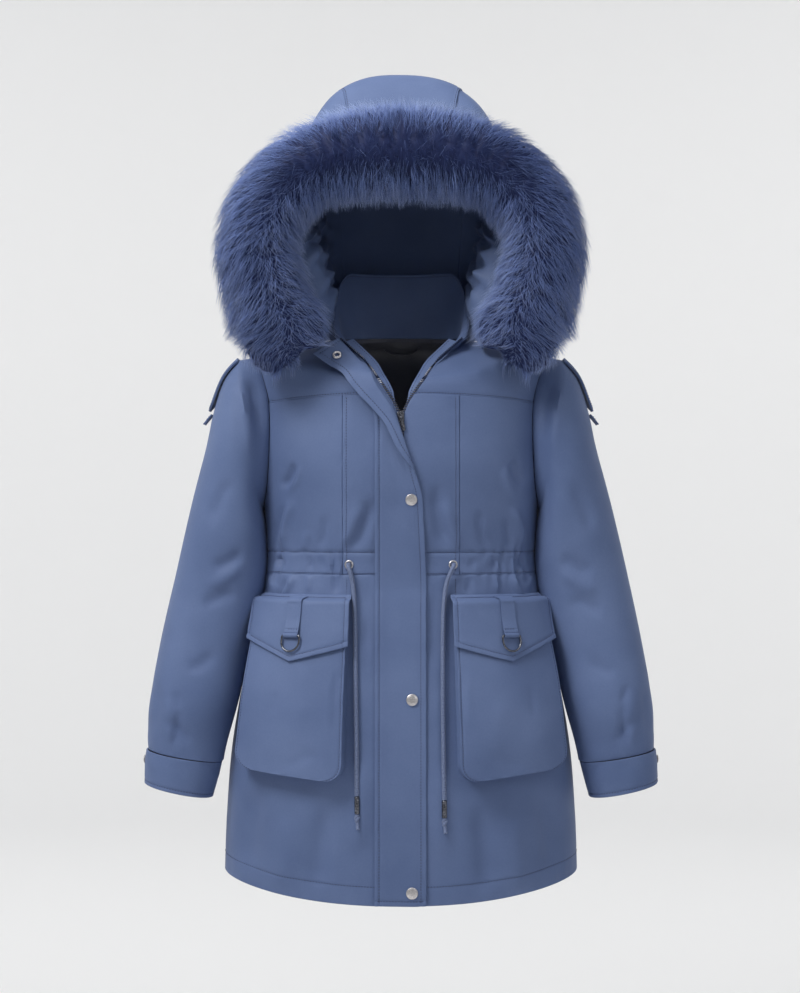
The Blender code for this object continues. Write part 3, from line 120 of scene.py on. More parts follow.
bodyRows = [  # front z, side z, back z, half width, front depth, back depth, power
    (-0.758, -0.7335, -0.762, 0.243, 0.147, 0.133, 2.2),
    (-0.66, -0.66, -0.66, 0.2405, 0.146, 0.132, 2.2),
    (-0.56, -0.56, -0.56, 0.2325, 0.142, 0.13, 2.2),
    (-0.45, -0.45, -0.45, 0.213, 0.131, 0.122, 2.2),
    (-0.37, -0.37, -0.37, 0.1955, 0.12, 0.112, 2.2),
    (-0.326, -0.326, -0.326, 0.187, 0.1145, 0.106, 2.2),
    (-0.2965, -0.2965, -0.2965, 0.185, 0.1135, 0.105, 2.2),
    (-0.24, -0.24, -0.24, 0.189, 0.121, 0.11, 2.2),
    (-0.17, -0.17, -0.17, 0.193, 0.127, 0.115, 2.2),
    (-0.086, -0.097, -0.1, 0.1935, 0.119, 0.11, 2.2),
    (-0.068, -0.03, -0.045, 0.195, 0.113, 0.1, 2.2),
    (-0.064, -0.016, -0.014, 0.14, 0.108, 0.084, 2.2),
    (-0.06, -0.004, 0.0000, 0.085, 0.105, 0.062, 2.2),
]
hemRow, channelRow, yokeRow, shoulderRow, neckRow = 0.0, 5.0, 9.0, 10.0, 12.0
channelZ = (bodyRows[5][0], bodyRows[6][0])     # the bottom and top of the waist cord's channel
underarmRow = 7.07
armholeMiddle, armholeReach = (shoulderRow + underarmRow) / 2, (shoulderRow - underarmRow) / 2
armholeBite = math.radians(24.0)
sideAngle = math.radians(90.0)
backAngle = math.radians(180.0)
princessX = 0.0775
gathers = {"waves": 7, "depth": 0.0018}
openEdge = ((-0.77, 0.0036), (-0.114, 0.0036), (-0.0977, 0.0105),
            (-0.0724, 0.027), (-0.0418, 0.0485), (-0.0098, 0.082))


def gatherWave(place, angle):
    near = smooth((place - 3.9) / 1.2) * smooth((7.3 - place) / 1.4)
    side = smooth((np.abs(angle) - 0.42) / 0.3)
    wave = np.cos(2 * gathers["waves"] * angle + 0.6 * np.sin(5 * angle))
    return gathers["depth"] * near * side * wave


def bodyPoint(place, angle):
    place, angle = paired(place, angle)
    r = row(bodyRows, place)
    s, c = np.sin(angle), np.cos(angle)
    grow = 1.0 + gatherWave(place, angle) / r[..., 3]
    depth = np.where(c > 0, r[..., 4], r[..., 5])
    endZ = np.where(c > 0, r[..., 0], r[..., 2])
    return vec(r[..., 3] * signedPower(s, 2 / r[..., 6]) * grow,
               -depth * signedPower(c, 2 / r[..., 6]) * grow,
               r[..., 1] + (endZ - r[..., 1]) * c * c)


def bodyNormal(place, angle):
    h = 0.01
    up = bodyPoint(np.minimum(place + h, neckRow), angle) - bodyPoint(np.maximum(place - h, 0), angle)
    across = bodyPoint(place, angle + h) - bodyPoint(place, angle - h)
    return unit(np.cross(across, up))


def onBody(place, angle, lift):
    return bodyPoint(place, angle) + bodyNormal(place, angle) * np.asarray(lift)[..., None]


def angleAt(place, x):
    r = row(bodyRows, place)
    share = np.clip(np.abs(x) / r[..., 3], 0.0, 1.0) ** (r[..., 6] / 2)
    return np.copysign(np.arcsin(np.minimum(share, 1.0)), x)


def frontPlace(x, z):
    x, z = paired(x, z)
    low, high = np.zeros(x.shape), np.full(x.shape, neckRow)
    for _ in range(26):
        place = (low + high) / 2
        below = bodyPoint(place, angleAt(place, x))[..., 2] < z
        low, high = np.where(below, place, low), np.where(below, high, place)
    return low, angleAt(low, x)


def onFront(x, z, lift):
    place, angle = frontPlace(x, z)
    return onBody(place, angle, lift)


def frontNormal(x, z):
    return bodyNormal(*frontPlace(x, z))


def edgeAngle(place, extra=0.0):
    place = np.asarray(place, float)
    angle = np.full(place.shape, 0.1)
    zs, xs = zip(*openEdge)
    for _ in range(12):
        z = bodyPoint(place, angle)[..., 2]
        angle = angleAt(place, np.interp(z, zs, xs) + extra)
    return angle


def armholeAngle(place):
    turn = np.arccos(np.clip((place - armholeMiddle) / armholeReach, -1, 1))
    return sideAngle - armholeBite * np.sin(turn) ** 0.8


def outerSide(place):
    place = np.asarray(place, float)
    inside = (place > underarmRow) & (place < shoulderRow)
    return np.where(inside, armholeAngle(place) - 0.0005, sideAngle - 0.0003)


def mirroredX(points, side):
    return points * np.array((side, 1.0, 1.0))


def lengths(points):  # how far each point lies along its column and its row
    down = np.linalg.norm(np.diff(points, axis=0), axis=-1).cumsum(0)
    over = np.linalg.norm(np.diff(points, axis=1), axis=-1).cumsum(1)
    down = np.concatenate([np.zeros((1, points.shape[1])), down])
    over = np.concatenate([np.zeros((points.shape[0], 1)), over], 1)
    return down, over


def runAlong(path):  # how far each point of a line lies along it
    return np.concatenate([[0], np.linalg.norm(np.diff(path, axis=0), axis=1).cumsum()])


def sampled(values, run, at):  # the points or directions at these distances
    return np.stack([np.interp(at, run, values[:, k]) for k in range(3)], -1)


def gridNormals(points, inside, closed=False):
    if closed:
        ahead = np.roll(points[:, :-1], -1, 1) - np.roll(points[:, :-1], 1, 1)
        over = np.concatenate([ahead, ahead[:, :1]], 1)
    else:
        over = np.gradient(points, axis=1)
    normals = unit(np.cross(np.gradient(points, axis=0), over))
    if np.sum(normals * (points - np.asarray(inside))) < 0:
        normals = -normals
    return normals


def gridSteps(length, step, stitched=(), seamStart=True, seamEnd=True):  # closest at sewn lines
    marks = [0.0, length]
    for at in (0.0005, 0.0011, 0.0018, 0.0028):
        marks += [at] * seamStart + [length - at] * seamEnd
    for at in stitched:     # a negative one counts from the far end
        at = at if at >= 0 else length + at
        marks += [at + d for d in (-0.0022, -0.0012, 0.0, 0.0012, 0.0022)]
    marks = sorted(m for m in marks if 0 <= m <= length)
    out = [0.0]
    for mark in marks[1:]:
        gap = mark - out[-1]
        if gap > 1.3 * step:
            count = math.ceil(gap / step)
            out += [out[-1] + gap * k / count for k in range(1, count)]
        if mark - out[-1] > 0.0003 or mark == length:
            out.append(mark)
    return np.array(out) / length


def fineGrid(pointAt, step, down=(), over=(), seams=(True, True, True, True), turns=None):
    dense = np.linspace(0, 1, 241)
    columns = pointAt(dense[:, None], np.array([[0.15, 0.5, 0.85]]))
    rowsOf = pointAt(np.array([[0.1], [0.5], [0.9]]), dense[None, :])
    runDown = np.linalg.norm(np.diff(columns, axis=0), axis=-1).mean(1).cumsum()
    runOver = np.linalg.norm(np.diff(rowsOf, axis=1), axis=-1).mean(0).cumsum()
    runDown, runOver = np.concatenate([[0], runDown]), np.concatenate([[0], runOver])
    u = gridSteps(runDown[-1], step, down, seams[0], seams[1])
    v = gridSteps(runOver[-1], step, over, seams[2], seams[3])
    u = np.interp(u * runDown[-1], runDown, dense)
    v = np.interp(v * runOver[-1], runOver, dense)
    if turns:
        v = np.linspace(0, 1, turns + 1)
    u, v = np.meshgrid(u, v, indexing="ij")
    return u, v, pointAt(u, v)


def meshOf(name, points, faces, uvs=None, inner=None, sharp=None):
    mesh = bpy.data.meshes.new(name)
    mesh.from_pydata(points.tolist(), [], faces)
    if uvs is not None:
        layer = mesh.uv_layers.new(name="cloth")
        loops = np.zeros(len(mesh.loops), np.int32)
        mesh.loops.foreach_get("vertex_index", loops)
        layer.data.foreach_set("uv", uvs[loops].astype(np.float32).ravel())
    if inner is not None:
        mesh.polygons.foreach_set("material_index", inner.astype(np.int32))
    mesh.shade_smooth()
    if sharp:
        mesh.set_sharp_from_angle(angle=math.radians(sharp))
    return mesh


def placed(name, mesh, look, standsFor=None, body="root"):
    piece = bpy.data.objects.new(name, mesh)
    bpy.context.scene.collection.objects.link(piece)
    for each in look if isinstance(look, list) else [look]:
        mesh.materials.append(each)
    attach(piece, body)
    if standsFor:
        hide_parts(standsFor)
    return piece


def ringFaces(rings, count, loop=False):  # the faces between rings of this many points
    return [[i * count + j, i * count + (j + 1) % count, (i + 1) % rings * count + (j + 1) % count,
             (i + 1) % rings * count + j] for i in range(rings if loop else rings - 1) for j in range(count)]


def wallMesh(name, outer, inner, closed=False, linedInside=False):
    # a closed wall between two grids, with the second material on its inside
    rows, cols = outer.shape[0], outer.shape[1] - closed
    down, over = lengths(outer)
    flat = np.stack([over, down], -1)
    points = np.concatenate([outer[:, :cols].reshape(-1, 3), inner[:, :cols].reshape(-1, 3)])
    uvs = np.concatenate([flat[:, :cols].reshape(-1, 2)] * 2)
    across = np.arange(cols if closed else cols - 1)
    i, j = np.meshgrid(np.arange(rows - 1), across, indexing="ij")
    k = (j + 1) % cols
    quad = np.stack([i * cols + j, i * cols + k, (i + 1) * cols + k, (i + 1) * cols + j], -1)
    quad = quad.reshape(-1, 4)
    count = rows * cols
    rims = []
    for r, turn in ((0, 1), (rows - 1, -1)):
        a, b = r * cols + across, r * cols + (across + 1) % cols
        rims.append(np.stack([b, a, a + count, b + count], -1)[:, ::turn])
    if not closed:
        down = np.arange(rows - 1)
        for c, turn in ((0, 1), (cols - 1, -1)):
            a, b = down * cols + c, (down + 1) * cols + c
            rims.append(np.stack([a, b, b + count, a + count], -1)[:, ::turn])
    faces = np.concatenate([quad, quad[:, ::-1] + count] + rims)
    mark = np.zeros(len(faces))
    mark[len(quad):2 * len(quad)] = linedInside
    a, b, c = (points[faces[:, corner]] for corner in range(3))
    if np.einsum("ij,ij->i", np.cross(b - a, c - a), a).sum() < 0:
        faces = faces[:, ::-1]
    return meshOf(name, points, faces.tolist(), uvs, mark, sharp=50.0)


def sewn(points, seed, pucker=0.0005, soft="", **edges):
    # the relief of a panel's edges, from the distances of the rows of stitches along each; None is no edge
    down, over = lengths(points)
    turned = 0.0005
    fromEdge = {"top": (down, over), "bottom": (down[-1:] - down, over),
                "left": (over, down), "right": (over[:, -1:] - over, down)}
    out = np.zeros(points.shape[:2])
    for number, (edge, (distance, run)) in enumerate(fromEdge.items()):
        rowsAt = edges.get(edge, ())
        if rowsAt is None:
            continue
        roll = np.clip(1 - distance / (0.0007 + turned), 0, 1)
        under = turned * (0.25 if edge == soft else 1.0)
        out -= under * (1 - np.sqrt(1 - roll ** 2))       # the folded edge turns under
        wave = ripple(run, seed + number)
        reach = max((0.0, *rowsAt)) + 0.006
        out += pucker * wave * np.exp(-(distance / reach) ** 2) * smooth(distance / 0.0015)
        for at in rowsAt:
            out -= 0.00075 * bump(distance - at, 0.0012) * (1 + 0.35 * wave)
    return out


def creased(a, b, creases):  # from a table in millimetres: start, end, bend, width and depth
    out = np.zeros(a.shape)
    for startA, startB, endA, endB, bend, width, depth in np.array(creases) / 1000:
        alongA, alongB = endA - startA, endB - startB
        length = math.hypot(alongA, alongB)
        t = ((a - startA) * alongA + (b - startB) * alongB) / length ** 2
        off = ((b - startB) * alongA - (a - startA) * alongB) / length
        off = off - bend * 4 * np.clip(t, 0, 1) * (1 - np.clip(t, 0, 1))
        fade = smooth(t / 0.35 + 0.15) * smooth((1 - t) / 0.35 + 0.15)
        out += depth * bump(off, width) * fade
    return out


def cutCloth(piece, points):  # the lengths along a panel's columns and rows, which are worked out and not kept
    down, over = lengths(points)


sewnLines = {}


def clothPiece(name, base, inside, look, seams, folds=0.0, thickness=0.0025, innerSwell=None,
               innerLook=None, closed=False, declare=True):
    normals = gridNormals(base, inside, closed)
    folds = folds * np.ones(base.shape[:2])
    padding = 0.6 * seams if innerSwell is None else innerSwell
    outer = base + normals * (seams + folds)[..., None]
    inner = base + normals * (folds + np.minimum(-thickness - padding, seams - 0.0008))[..., None]
    mesh = wallMesh(name, outer, inner, closed, innerLook is not None)
    piece = placed(name + "_cloth", mesh, [look, innerLook or look], name)
    sewnLines[name] = (outer, normals, inner)
    if declare:
        cutCloth(piece, base)
    return piece


def linear(hexColour):
    channels = [int(hexColour[i:i + 2], 16) / 255 for i in (1, 3, 5)]
    return tuple(c / 12.92 if c <= 0.04045 else ((c + 0.055) / 1.055) ** 2.4 for c in channels) + (1.0,)


def addNode(tree, kind, settings=None, inputs=None):
    # a node with its settings; an input is a value or the socket that it is linked to
    node = tree.nodes.new("ShaderNode" + kind)
    for key, value in (settings or {}).items():
        setattr(node, key, value)
    for key, value in (inputs or {}).items():
        if isinstance(value, bpy.types.NodeSocket):
            tree.links.new(value, node.inputs[key])
        else:
            node.inputs[key].default_value = value
    return node


def newLook(name, values):
    look = bpy.data.materials.new(name)
    look.use_nodes = True
    tree = look.node_tree
    shader = tree.nodes["Principled BSDF"]
    for key, value in values.items():
        shader.inputs[key].default_value = value
    return look, tree, shader


def ramp(tree, fac, stops):
    node = addNode(tree, "ValToRGB", inputs={"Fac": fac})
    elements = node.color_ramp.elements
    while len(elements) < len(stops):
        elements.new(0.5)
    for element, (at, colour) in zip(elements, stops):
        element.position = at
        element.color = colour if isinstance(colour, tuple) else (colour, colour, colour, 1.0)
    return node.outputs["Color"]


def wovenLook(name, look):
    # cloth with a woven surface: fine threads, slow colour changes and a dry sheen
    made, tree, shader = newLook(name, {
        "Roughness": look["roughness"], "Specular IOR Level": look["specular"], "IOR": 1.45,
        "Sheen Weight": look["sheen"], "Sheen Roughness": 0.45, "Sheen Tint": linear(look["sheenTint"])})
    uv = addNode(tree, "UVMap", {"uv_map": "cloth"}).outputs["UV"]
    spot = addNode(tree, "TexCoord").outputs["Object"]
    slow = addNode(tree, "TexNoise", inputs={"Vector": spot, "Scale": 9.0, "Detail": 3.0})
    fine = addNode(tree, "TexNoise", inputs={"Vector": spot, "Scale": 420.0, "Detail": 2.0})
    both = addNode(tree, "Math", {"operation": "MULTIPLY_ADD"},
                   {0: fine.outputs["Fac"], 1: 0.22, 2: slow.outputs["Fac"]}).outputs[0]
    colour = ramp(tree, both, [(0.4, linear(look["dark"])), (0.6, linear(look["colour"])),
                               (0.82, linear(look["light"]))])
    tree.links.new(colour, shader.inputs["Base Color"])
    turn = addNode(tree, "Mapping", inputs={"Vector": uv, "Rotation": (0, 0, look["slant"])})
    threads = [addNode(tree, "TexWave", {"bands_direction": way},
                       {"Vector": turn.outputs["Vector"], "Scale": 0.314 / look["thread"],
                        "Distortion": 0.6, "Detail": 1.0, "Detail Scale": 2.0}).outputs["Fac"]
               for way in "XY"]
    weave = addNode(tree, "Math", {"operation": "MULTIPLY"}, dict(enumerate(threads))).outputs[0]
    first = addNode(tree, "Bump", inputs={"Height": weave, "Distance": look["threadHeight"],
                                                    "Strength": 0.5})
    worn = addNode(tree, "TexNoise", inputs={"Vector": spot, "Scale": 62.0, "Detail": 4.0})
    second = addNode(tree, "Bump", inputs={"Height": worn.outputs["Fac"], "Distance": look["crumple"],
                                           "Strength": 0.6, "Normal": first.outputs["Normal"]})
    tree.links.new(second.outputs["Normal"], shader.inputs["Normal"])
    return made


# Cotton and polyester shell cloth, piece dyed and washed: matt, with a soft sheen where it turns away.
shellLook = wovenLook("washed_cotton_shell", {
    "colour": "#5d6f97", "dark": "#566890", "light": "#65779f", "roughness": 0.62, "specular": 0.35,
    "sheen": 0.2, "sheenTint": "#aab6d2", "thread": 0.0009, "threadHeight": 0.00006,
    "crumple": 0.0004, "slant": 0.0})
# Plain woven polyester lining, calendered: black with a low gloss, but coloured a lighter grey than black as
# painted light for the little light that reaches inside the coat.
liningLook = wovenLook("black_lining_painted_light", {
    "colour": "#4a4d5b", "dark": "#3e414d", "light": "#585b6b", "roughness": 0.4, "specular": 0.5,
    "sheen": 0.15, "sheenTint": "#8a90a8", "thread": 0.0008, "threadHeight": 0.00004,
    "crumple": 0.0006, "slant": 0.0})
# Woven polyester zip tape: a tight herringbone, darker than the shell.
tapeLook = wovenLook("woven_zip_tape", {
    "colour": "#3c4a70", "dark": "#334064", "light": "#46557c", "roughness": 0.7, "specular": 0.3,
    "sheen": 0.1, "sheenTint": "#7080b0", "thread": 0.0011, "threadHeight": 0.0001,
    "crumple": 0.0002, "slant": 0.78})


def threadLookOf(name, colour):  # polyester sewing thread, spun: a little gloss along each stitch
    made, tree, shader = newLook(name, {"Roughness": 0.5, "Specular IOR Level": 0.4, "Sheen Weight": 0.2})
    spot = addNode(tree, "TexCoord").outputs["Object"]
    twist = addNode(tree, "TexNoise", inputs={"Vector": spot, "Scale": 900.0})
    # both thread colours are dark: painted shade of the needle holes and the grooves the stitches sit in
    tree.links.new(ramp(tree, twist.outputs["Fac"], [(0.3, linear(colour)), (0.7, linear("#2e3c66"))]),
                   shader.inputs["Base Color"])
    return made


def metalLook(name, colour, dark, roughness, grain):
    # plated metal, tumbled: soft wear in the colour and fine scuffs in the gloss
    made, tree, shader = newLook(name, {"Metallic": 1.0})
    spot = addNode(tree, "TexCoord").outputs["Object"]
    wear = addNode(tree, "TexNoise", inputs={"Vector": spot, "Scale": grain, "Detail": 4.0})
    tree.links.new(ramp(tree, wear.outputs["Fac"], [(0.35, linear(dark)), (0.62, linear(colour))]),
                   shader.inputs["Base Color"])
    tree.links.new(ramp(tree, wear.outputs["Fac"], [(0.3, roughness * 1.35), (0.7, roughness * 0.8)]),
                   shader.inputs["Roughness"])
    scuff = addNode(tree, "Bump", inputs={"Height": wear.outputs["Fac"], "Distance": 0.00008,
                                                    "Strength": 0.4})
    tree.links.new(scuff.outputs["Normal"], shader.inputs["Normal"])
    return made


nickelLook = metalLook("satin_nickel_plate", "#e6e2e2", "#bdb9ba", 0.3, 700.0)
gunmetalLook = metalLook("black_nickel_plate", "#7c7e86", "#4c4e56", 0.24, 700.0)
# the thread is coloured much darker than the shell as painted shade of its needle holes
threadShadeLook = threadLookOf("spun_thread_painted_shade", "#1c2747")


def braidLook():  # braided polyester cord: plaited strands that catch the light by turns
    made, tree, shader = newLook("braided_cord", {"Roughness": 0.66, "Specular IOR Level": 0.4,
                                                  "Sheen Weight": 0.3, "Sheen Roughness": 0.4})
    uv = addNode(tree, "UVMap", {"uv_map": "cloth"}).outputs["UV"]
    plait = addNode(tree, "TexNoise", inputs={"Vector": uv, "Scale": 600.0, "Detail": 2.0})
    tree.links.new(ramp(tree, plait.outputs["Fac"], [(0.3, linear("#4e5c80")), (0.7, linear("#8391b3"))]),
                   shader.inputs["Base Color"])
    return made


def furLook(name, root, middle, tip):
    # dyed faux fur: acrylic hairs, dark at the root and paler at the tip
    made, tree, shader = newLook(name, {"Roughness": 0.58, "Specular IOR Level": 0.22,
                                        "Sheen Weight": 0.15, "Sheen Roughness": 0.5,
                                        "Sheen Tint": linear("#8fa6dc")})
    uv = addNode(tree, "UVMap", {"uv_map": "cloth"}).outputs["UV"]
    # the second UV value is also shortened by painted shade where hairs point at the camera, so those hairs
    # take the darker colours
    split = addNode(tree, "SeparateXYZ", inputs={"Vector": uv})
    shade = addNode(tree, "Math", {"operation": "MULTIPLY_ADD"},
                    {0: split.outputs["X"], 1: 0.34, 2: split.outputs["Y"]}).outputs[0]
    shade = addNode(tree, "Math", {"operation": "SUBTRACT"}, {0: shade, 1: 0.17}).outputs[0]
    tree.links.new(ramp(tree, shade, [(0.1, linear(root)), (0.6, linear(middle)), (1.0, linear(tip))]),
                   shader.inputs["Base Color"])
    return made


cordLook = braidLook()
hairLook = furLook("dyed_faux_fur", "#1c2b5a", "#7388c0", "#b4c4ec")
# the underfur stands for the dense short hair, and its dark colours are painted shade of the fur's depth
# under the guard hairs
underfurShadeLook = furLook("underfur_painted_shade", "#17214a", "#24335f", "#32457c")
print("materials made")


view = {"x": -0.0014, "distance": 2.6, "z": -0.222, "lens": 68.06}
studio = {"floorZ": -1.38, "floorReach": 4.2, "coveRadius": 1.8, "wallTop": 3.6}


def makeCamera():
    data = bpy.data.cameras.new("camera")
    data.lens = view["lens"]
    camera = bpy.data.objects.new("camera", data)
    camera.location = (view["x"], -view["distance"], view["z"])
    camera.rotation_euler = (math.radians(90.0), 0.0, 0.0)
    bpy.context.scene.collection.objects.link(camera)
    bpy.context.scene.camera = camera


def areaLight(name, place, aim, size, power, colour):
    data = bpy.data.lights.new(name, "AREA")
    data.shape = "RECTANGLE"
    data.size = data.size_y = size
    data.energy = power
    data.color = colour
    lamp = bpy.data.objects.new(name, data)
    lamp.location = place
    lamp.rotation_euler = (Vector(aim) - Vector(place)).to_track_quat("-Z", "Y").to_euler()
    lamp.visible_camera = False
    bpy.context.scene.collection.objects.link(lamp)


def makeStudio():  # a pale floor that turns up into a wall all round, and soft boxes in front
    profile = [(0.02, studio["floorZ"]), (1.5, studio["floorZ"]), (studio["floorReach"], studio["floorZ"])]
    for i in range(1, 13):
        turn = math.radians(90.0 * i / 12)
        profile.append((studio["floorReach"] + studio["coveRadius"] * math.sin(turn),
                        studio["floorZ"] + studio["coveRadius"] * (1 - math.cos(turn))))
    profile.append((profile[-1][0], studio["wallTop"]))
    turns = turnsOf(64)
    points = np.array([(r * math.cos(t), r * math.sin(t), z) for r, z in profile for t in turns])
    mesh = meshOf("studio_floor", points, ringFaces(len(profile), len(turns)))
    floor = bpy.data.objects.new("studio_floor", mesh)
    bpy.context.scene.collection.objects.link(floor)
    paper = newLook("studio_paper", {"Roughness": 0.9, "Specular IOR Level": 0.1,
                                     "Base Color": linear("#f0f0f0")})[0]
    floor.data.materials.append(paper)
    world = bpy.data.worlds.new("studio_air")
    world.use_nodes = True
    air = world.node_tree.nodes["Background"]
    air.inputs["Color"].default_value = linear("#eef0f4")
    air.inputs["Strength"].default_value = 0.33
    bpy.context.scene.world = world
    bpy.context.scene.view_settings.view_transform = "Standard"
    areaLight("key", (-1.6, -1.5, 1.9), (0.0, 0.0, 0.0), 1.0, 60.0, (1.0, 0.99, 0.97))
    areaLight("fill", (1.9, -2.1, 1.3), (0.1, 0.0, 0.0), 1.6, 10.0, (0.96, 0.98, 1.0))
    areaLight("top", (-0.3, -0.5, 2.0), (0.0, 0.0, 0.0), 1.2, 16.0, (1.0, 1.0, 1.0))
    for across in (-2.4, 2.4):     # these light the wall behind the coat and not the coat
        areaLight("wall", (across, 1.6, 1.8), (across * 0.3, 6.0, 0.3), 2.2, 55.0, (1.0, 1.0, 1.0))


makeCamera()
makeStudio()


cordSize = {"radius": 0.0028, "braid": 0.0004, "twist": 0.0092, "sides": 16, "rings": 420}
cordRoutes = {  # x, z and height over the front, from the eyelet down
    -1.0: [(0.069, -0.3125, 0.0018), (0.0688, -0.314, 0.0072), (0.0655, -0.324, 0.0078),
           (0.063, -0.338, 0.0052), (0.0612, -0.36, 0.0044), (0.0602, -0.39, 0.0042),
           (0.0594, -0.44, 0.0042), (0.0586, -0.495, 0.0042), (0.0578, -0.55, 0.0042),
           (0.0572, -0.614, 0.0044)],
    1.0: [(0.069, -0.3125, 0.0018), (0.0686, -0.314, 0.0072), (0.064, -0.324, 0.0078),
          (0.059, -0.34, 0.0052), (0.0562, -0.364, 0.0044), (0.055, -0.395, 0.0042),
          (0.0545, -0.445, 0.0042), (0.0546, -0.5, 0.0042), (0.0552, -0.555, 0.0042),
          (0.056, -0.619, 0.0044)],
}
eyeletPlace = (0.069, -0.3125)
barrel = {"radius": 0.0035, "length": 0.023}
knot = {"radius": 0.0042, "length": 0.02}


def evenly(points, count):
    run = runAlong(points)
    return sampled(points, run, np.linspace(0, run[-1], count))


def framesAlong(path):  # two directions across a path, which turn as little as they can
    tangents = unit(np.gradient(path, axis=0))
    across = np.zeros_like(path)
    last = np.array((1.0, 0.0, 0.0))
    for i, tangent in enumerate(tangents):
        last = last - tangent * (last @ tangent)
        last = last / np.linalg.norm(last)
        across[i] = last
    return across, np.cross(tangents, across)


def tubeMesh(name, path, radius, sides, relief):
    # a closed tube along a path; relief gives its height at each turn and distance
    a, b = framesAlong(path)
    turns = turnsOf(sides)
    run = runAlong(path)
    radii = np.broadcast_to(np.asarray(radius, float), (len(path),))[:, None] * np.ones(sides)
    radii = radii + relief(turns[None, :], run[:, None])
    rings = (path[:, None] + radii[..., None]
             * (a[:, None] * np.cos(turns)[None, :, None] + b[:, None] * np.sin(turns)[None, :, None]))
    points = np.concatenate([rings.reshape(-1, 3), path[:1], path[-1:]])
    count = len(path) * sides
    faces = ringFaces(len(path), sides)
    last = (len(path) - 1) * sides
    for s in range(sides):
        faces.append([count, (s + 1) % sides, s])
        faces.append([count + 1, last + s, last + (s + 1) % sides])
    uvs = np.stack([np.tile(turns * radii.mean(), len(path)), np.repeat(run, sides)], -1)
    return meshOf(name, points, faces, np.concatenate([uvs, [[0, 0], [0, run[-1]]]]))


def braidRelief(turn, run):
    wave = 4 * 2 * np.pi * run / cordSize["twist"]
    return cordSize["braid"] * (np.abs(np.sin(4 * turn + wave)) + np.abs(np.sin(4 * turn - wave)) - 1.2)


def turnedMesh(name, profile, point, direction, count=40, loop=False):
    # turned from (radius, height) pairs about a line
    axis = unit(np.asarray(direction, float))
    a = unit(np.cross(axis, (0.31, 0.2, 0.93)))
    b = np.cross(axis, a)
    turns = turnsOf(count)
    ring = np.cos(turns)[:, None] * a + np.sin(turns)[:, None] * b
    points = np.concatenate([np.asarray(point) + axis * h + ring * max(r, 1e-5) for r, h in profile])
    return meshOf(name, points, solidFaces(len(profile), count, loop), sharp=50.0)


def solidFaces(rings, count, loop=False):  # the rings and, where they aren't a loop, the two ends
    ends = [list(range(count))[::-1], [(rings - 1) * count + j for j in range(count)]]
    return ringFaces(rings, count, loop) + ([] if loop else ends)


def makeCords():
    r, l = barrel["radius"], barrel["length"]
    grooved = [(0, 0), (r * 0.72, 0), (r * 0.92, 0.0004), (r, 0.0012), (r, 0.003), (r * 0.93, 0.0034),
               (r * 0.93, 0.004), (r, 0.0044)]
    grooved += [(width, l - height) for width, height in reversed(grooved)]
    for tail, side in sides:
        route = np.array(cordRoutes[side])
        points = onFront(side * route[:, 0], route[:, 1], route[:, 2])
        path = evenly(row(points, np.linspace(0, len(points) - 1, 400)), cordSize["rings"])
        mesh = tubeMesh("waist_cord", path, cordSize["radius"] - cordSize["braid"] * 0.3, cordSize["sides"],
                        braidRelief)
        piece = placed("waist_cord" + tail, mesh, cordLook, "cord" + tail)
        length = float(runAlong(path)[-1])
        down = unit(path[-1] - path[-8])
        start = path[-1] + down * 0.0003
        end = placed("cord_end" + tail, turnedMesh("cord_end", grooved, start, down), gunmetalLook,
                     "cord_barrel" + tail)
        tie = makeKnot(tail, start + down * (l + 0.0003), down)


def makeKnot(tail, start, down):  # an overhand knot with its short frayed end
    size = knot["radius"]
    axis = unit(down)
    a = unit(np.cross(axis, (0.2, 1.0, 0.1)))
    b = np.cross(axis, a)
    t = np.linspace(0, 1, 90)
    turn = 2 * np.pi * 1.6 * t
    swing = size * 0.42 * np.sin(np.pi * t) ** 0.6
    height = size * (0.55 + 1.3 * t) - size * 0.35 * np.sin(turn * 1.25)
    around = np.cos(turn)[:, None] * a + np.sin(turn)[:, None] * b
    knotted = start + axis * height[:, None] + swing[:, None] * around
    tailEnd = start + axis * knot["length"] + a * 0.0012
    path = np.concatenate([knotted, mix(knotted[-1], tailEnd, np.linspace(0, 1, 40)[1:, None])])
    radius = np.concatenate([np.full(90, size * 0.5), np.linspace(size * 0.44, size * 0.56, 39)])
    radius[-3:] *= (0.9, 0.75, 0.4)

    def strands(turns, run):
        return 0.00016 * np.abs(np.sin(5 * turns + run / 0.0011)) * (1 + 0.8 * smooth((run - 0.026) / 0.006))

    return placed("cord_tie" + tail, tubeMesh("cord_tie", path, radius, 14, strands), cordLook,
                  "cord_knot" + tail)


makeCords()
print("cords made")


sewing = {"pitch": 0.0039, "length": 0.0027, "thread": 0.0005}
stitchRows = []


def lineAt(grid, edge, distance):  # points and normals along a panel, this far in from an edge
    turn = {"top": lambda g: g, "bottom": lambda g: g[::-1], "left": lambda g: g.transpose(1, 0, 2),
            "right": lambda g: g.transpose(1, 0, 2)[::-1]}[edge]
    points, normals = turn(grid[0]), turn(grid[1])
    run = lengths(points)[0]
    line = [sampled(points[:, j], run[:, j], distance) for j in range(points.shape[1])]
    out = [sampled(normals[:, j], run[:, j], distance) for j in range(points.shape[1])]
    return np.array(line), unit(np.array(out))


def stitch(line, out, skip=0.003):  # thread along a line that lies on the cloth
    run = runAlong(line)
    if run[-1] < 2 * skip + sewing["pitch"]:
        return
    count = int((run[-1] - skip - skip) / sewing["pitch"])
    middle = skip + (np.arange(count) + 0.5) * sewing["pitch"]
    half = sewing["length"] / 2
    ends = [sampled(line, run, middle - half), sampled(line, run, middle + half), sampled(out, run, middle)]
    stitchRows.append(np.stack(ends, 1))


def stitchEdges(name, skip=0.003, inner=False, **edges):
    outer, normals, innerGrid = sewnLines[name]
    for edge, distance in edges.items():
        stitch(*lineAt((innerGrid, -normals) if inner else (outer, normals), edge, distance), skip)


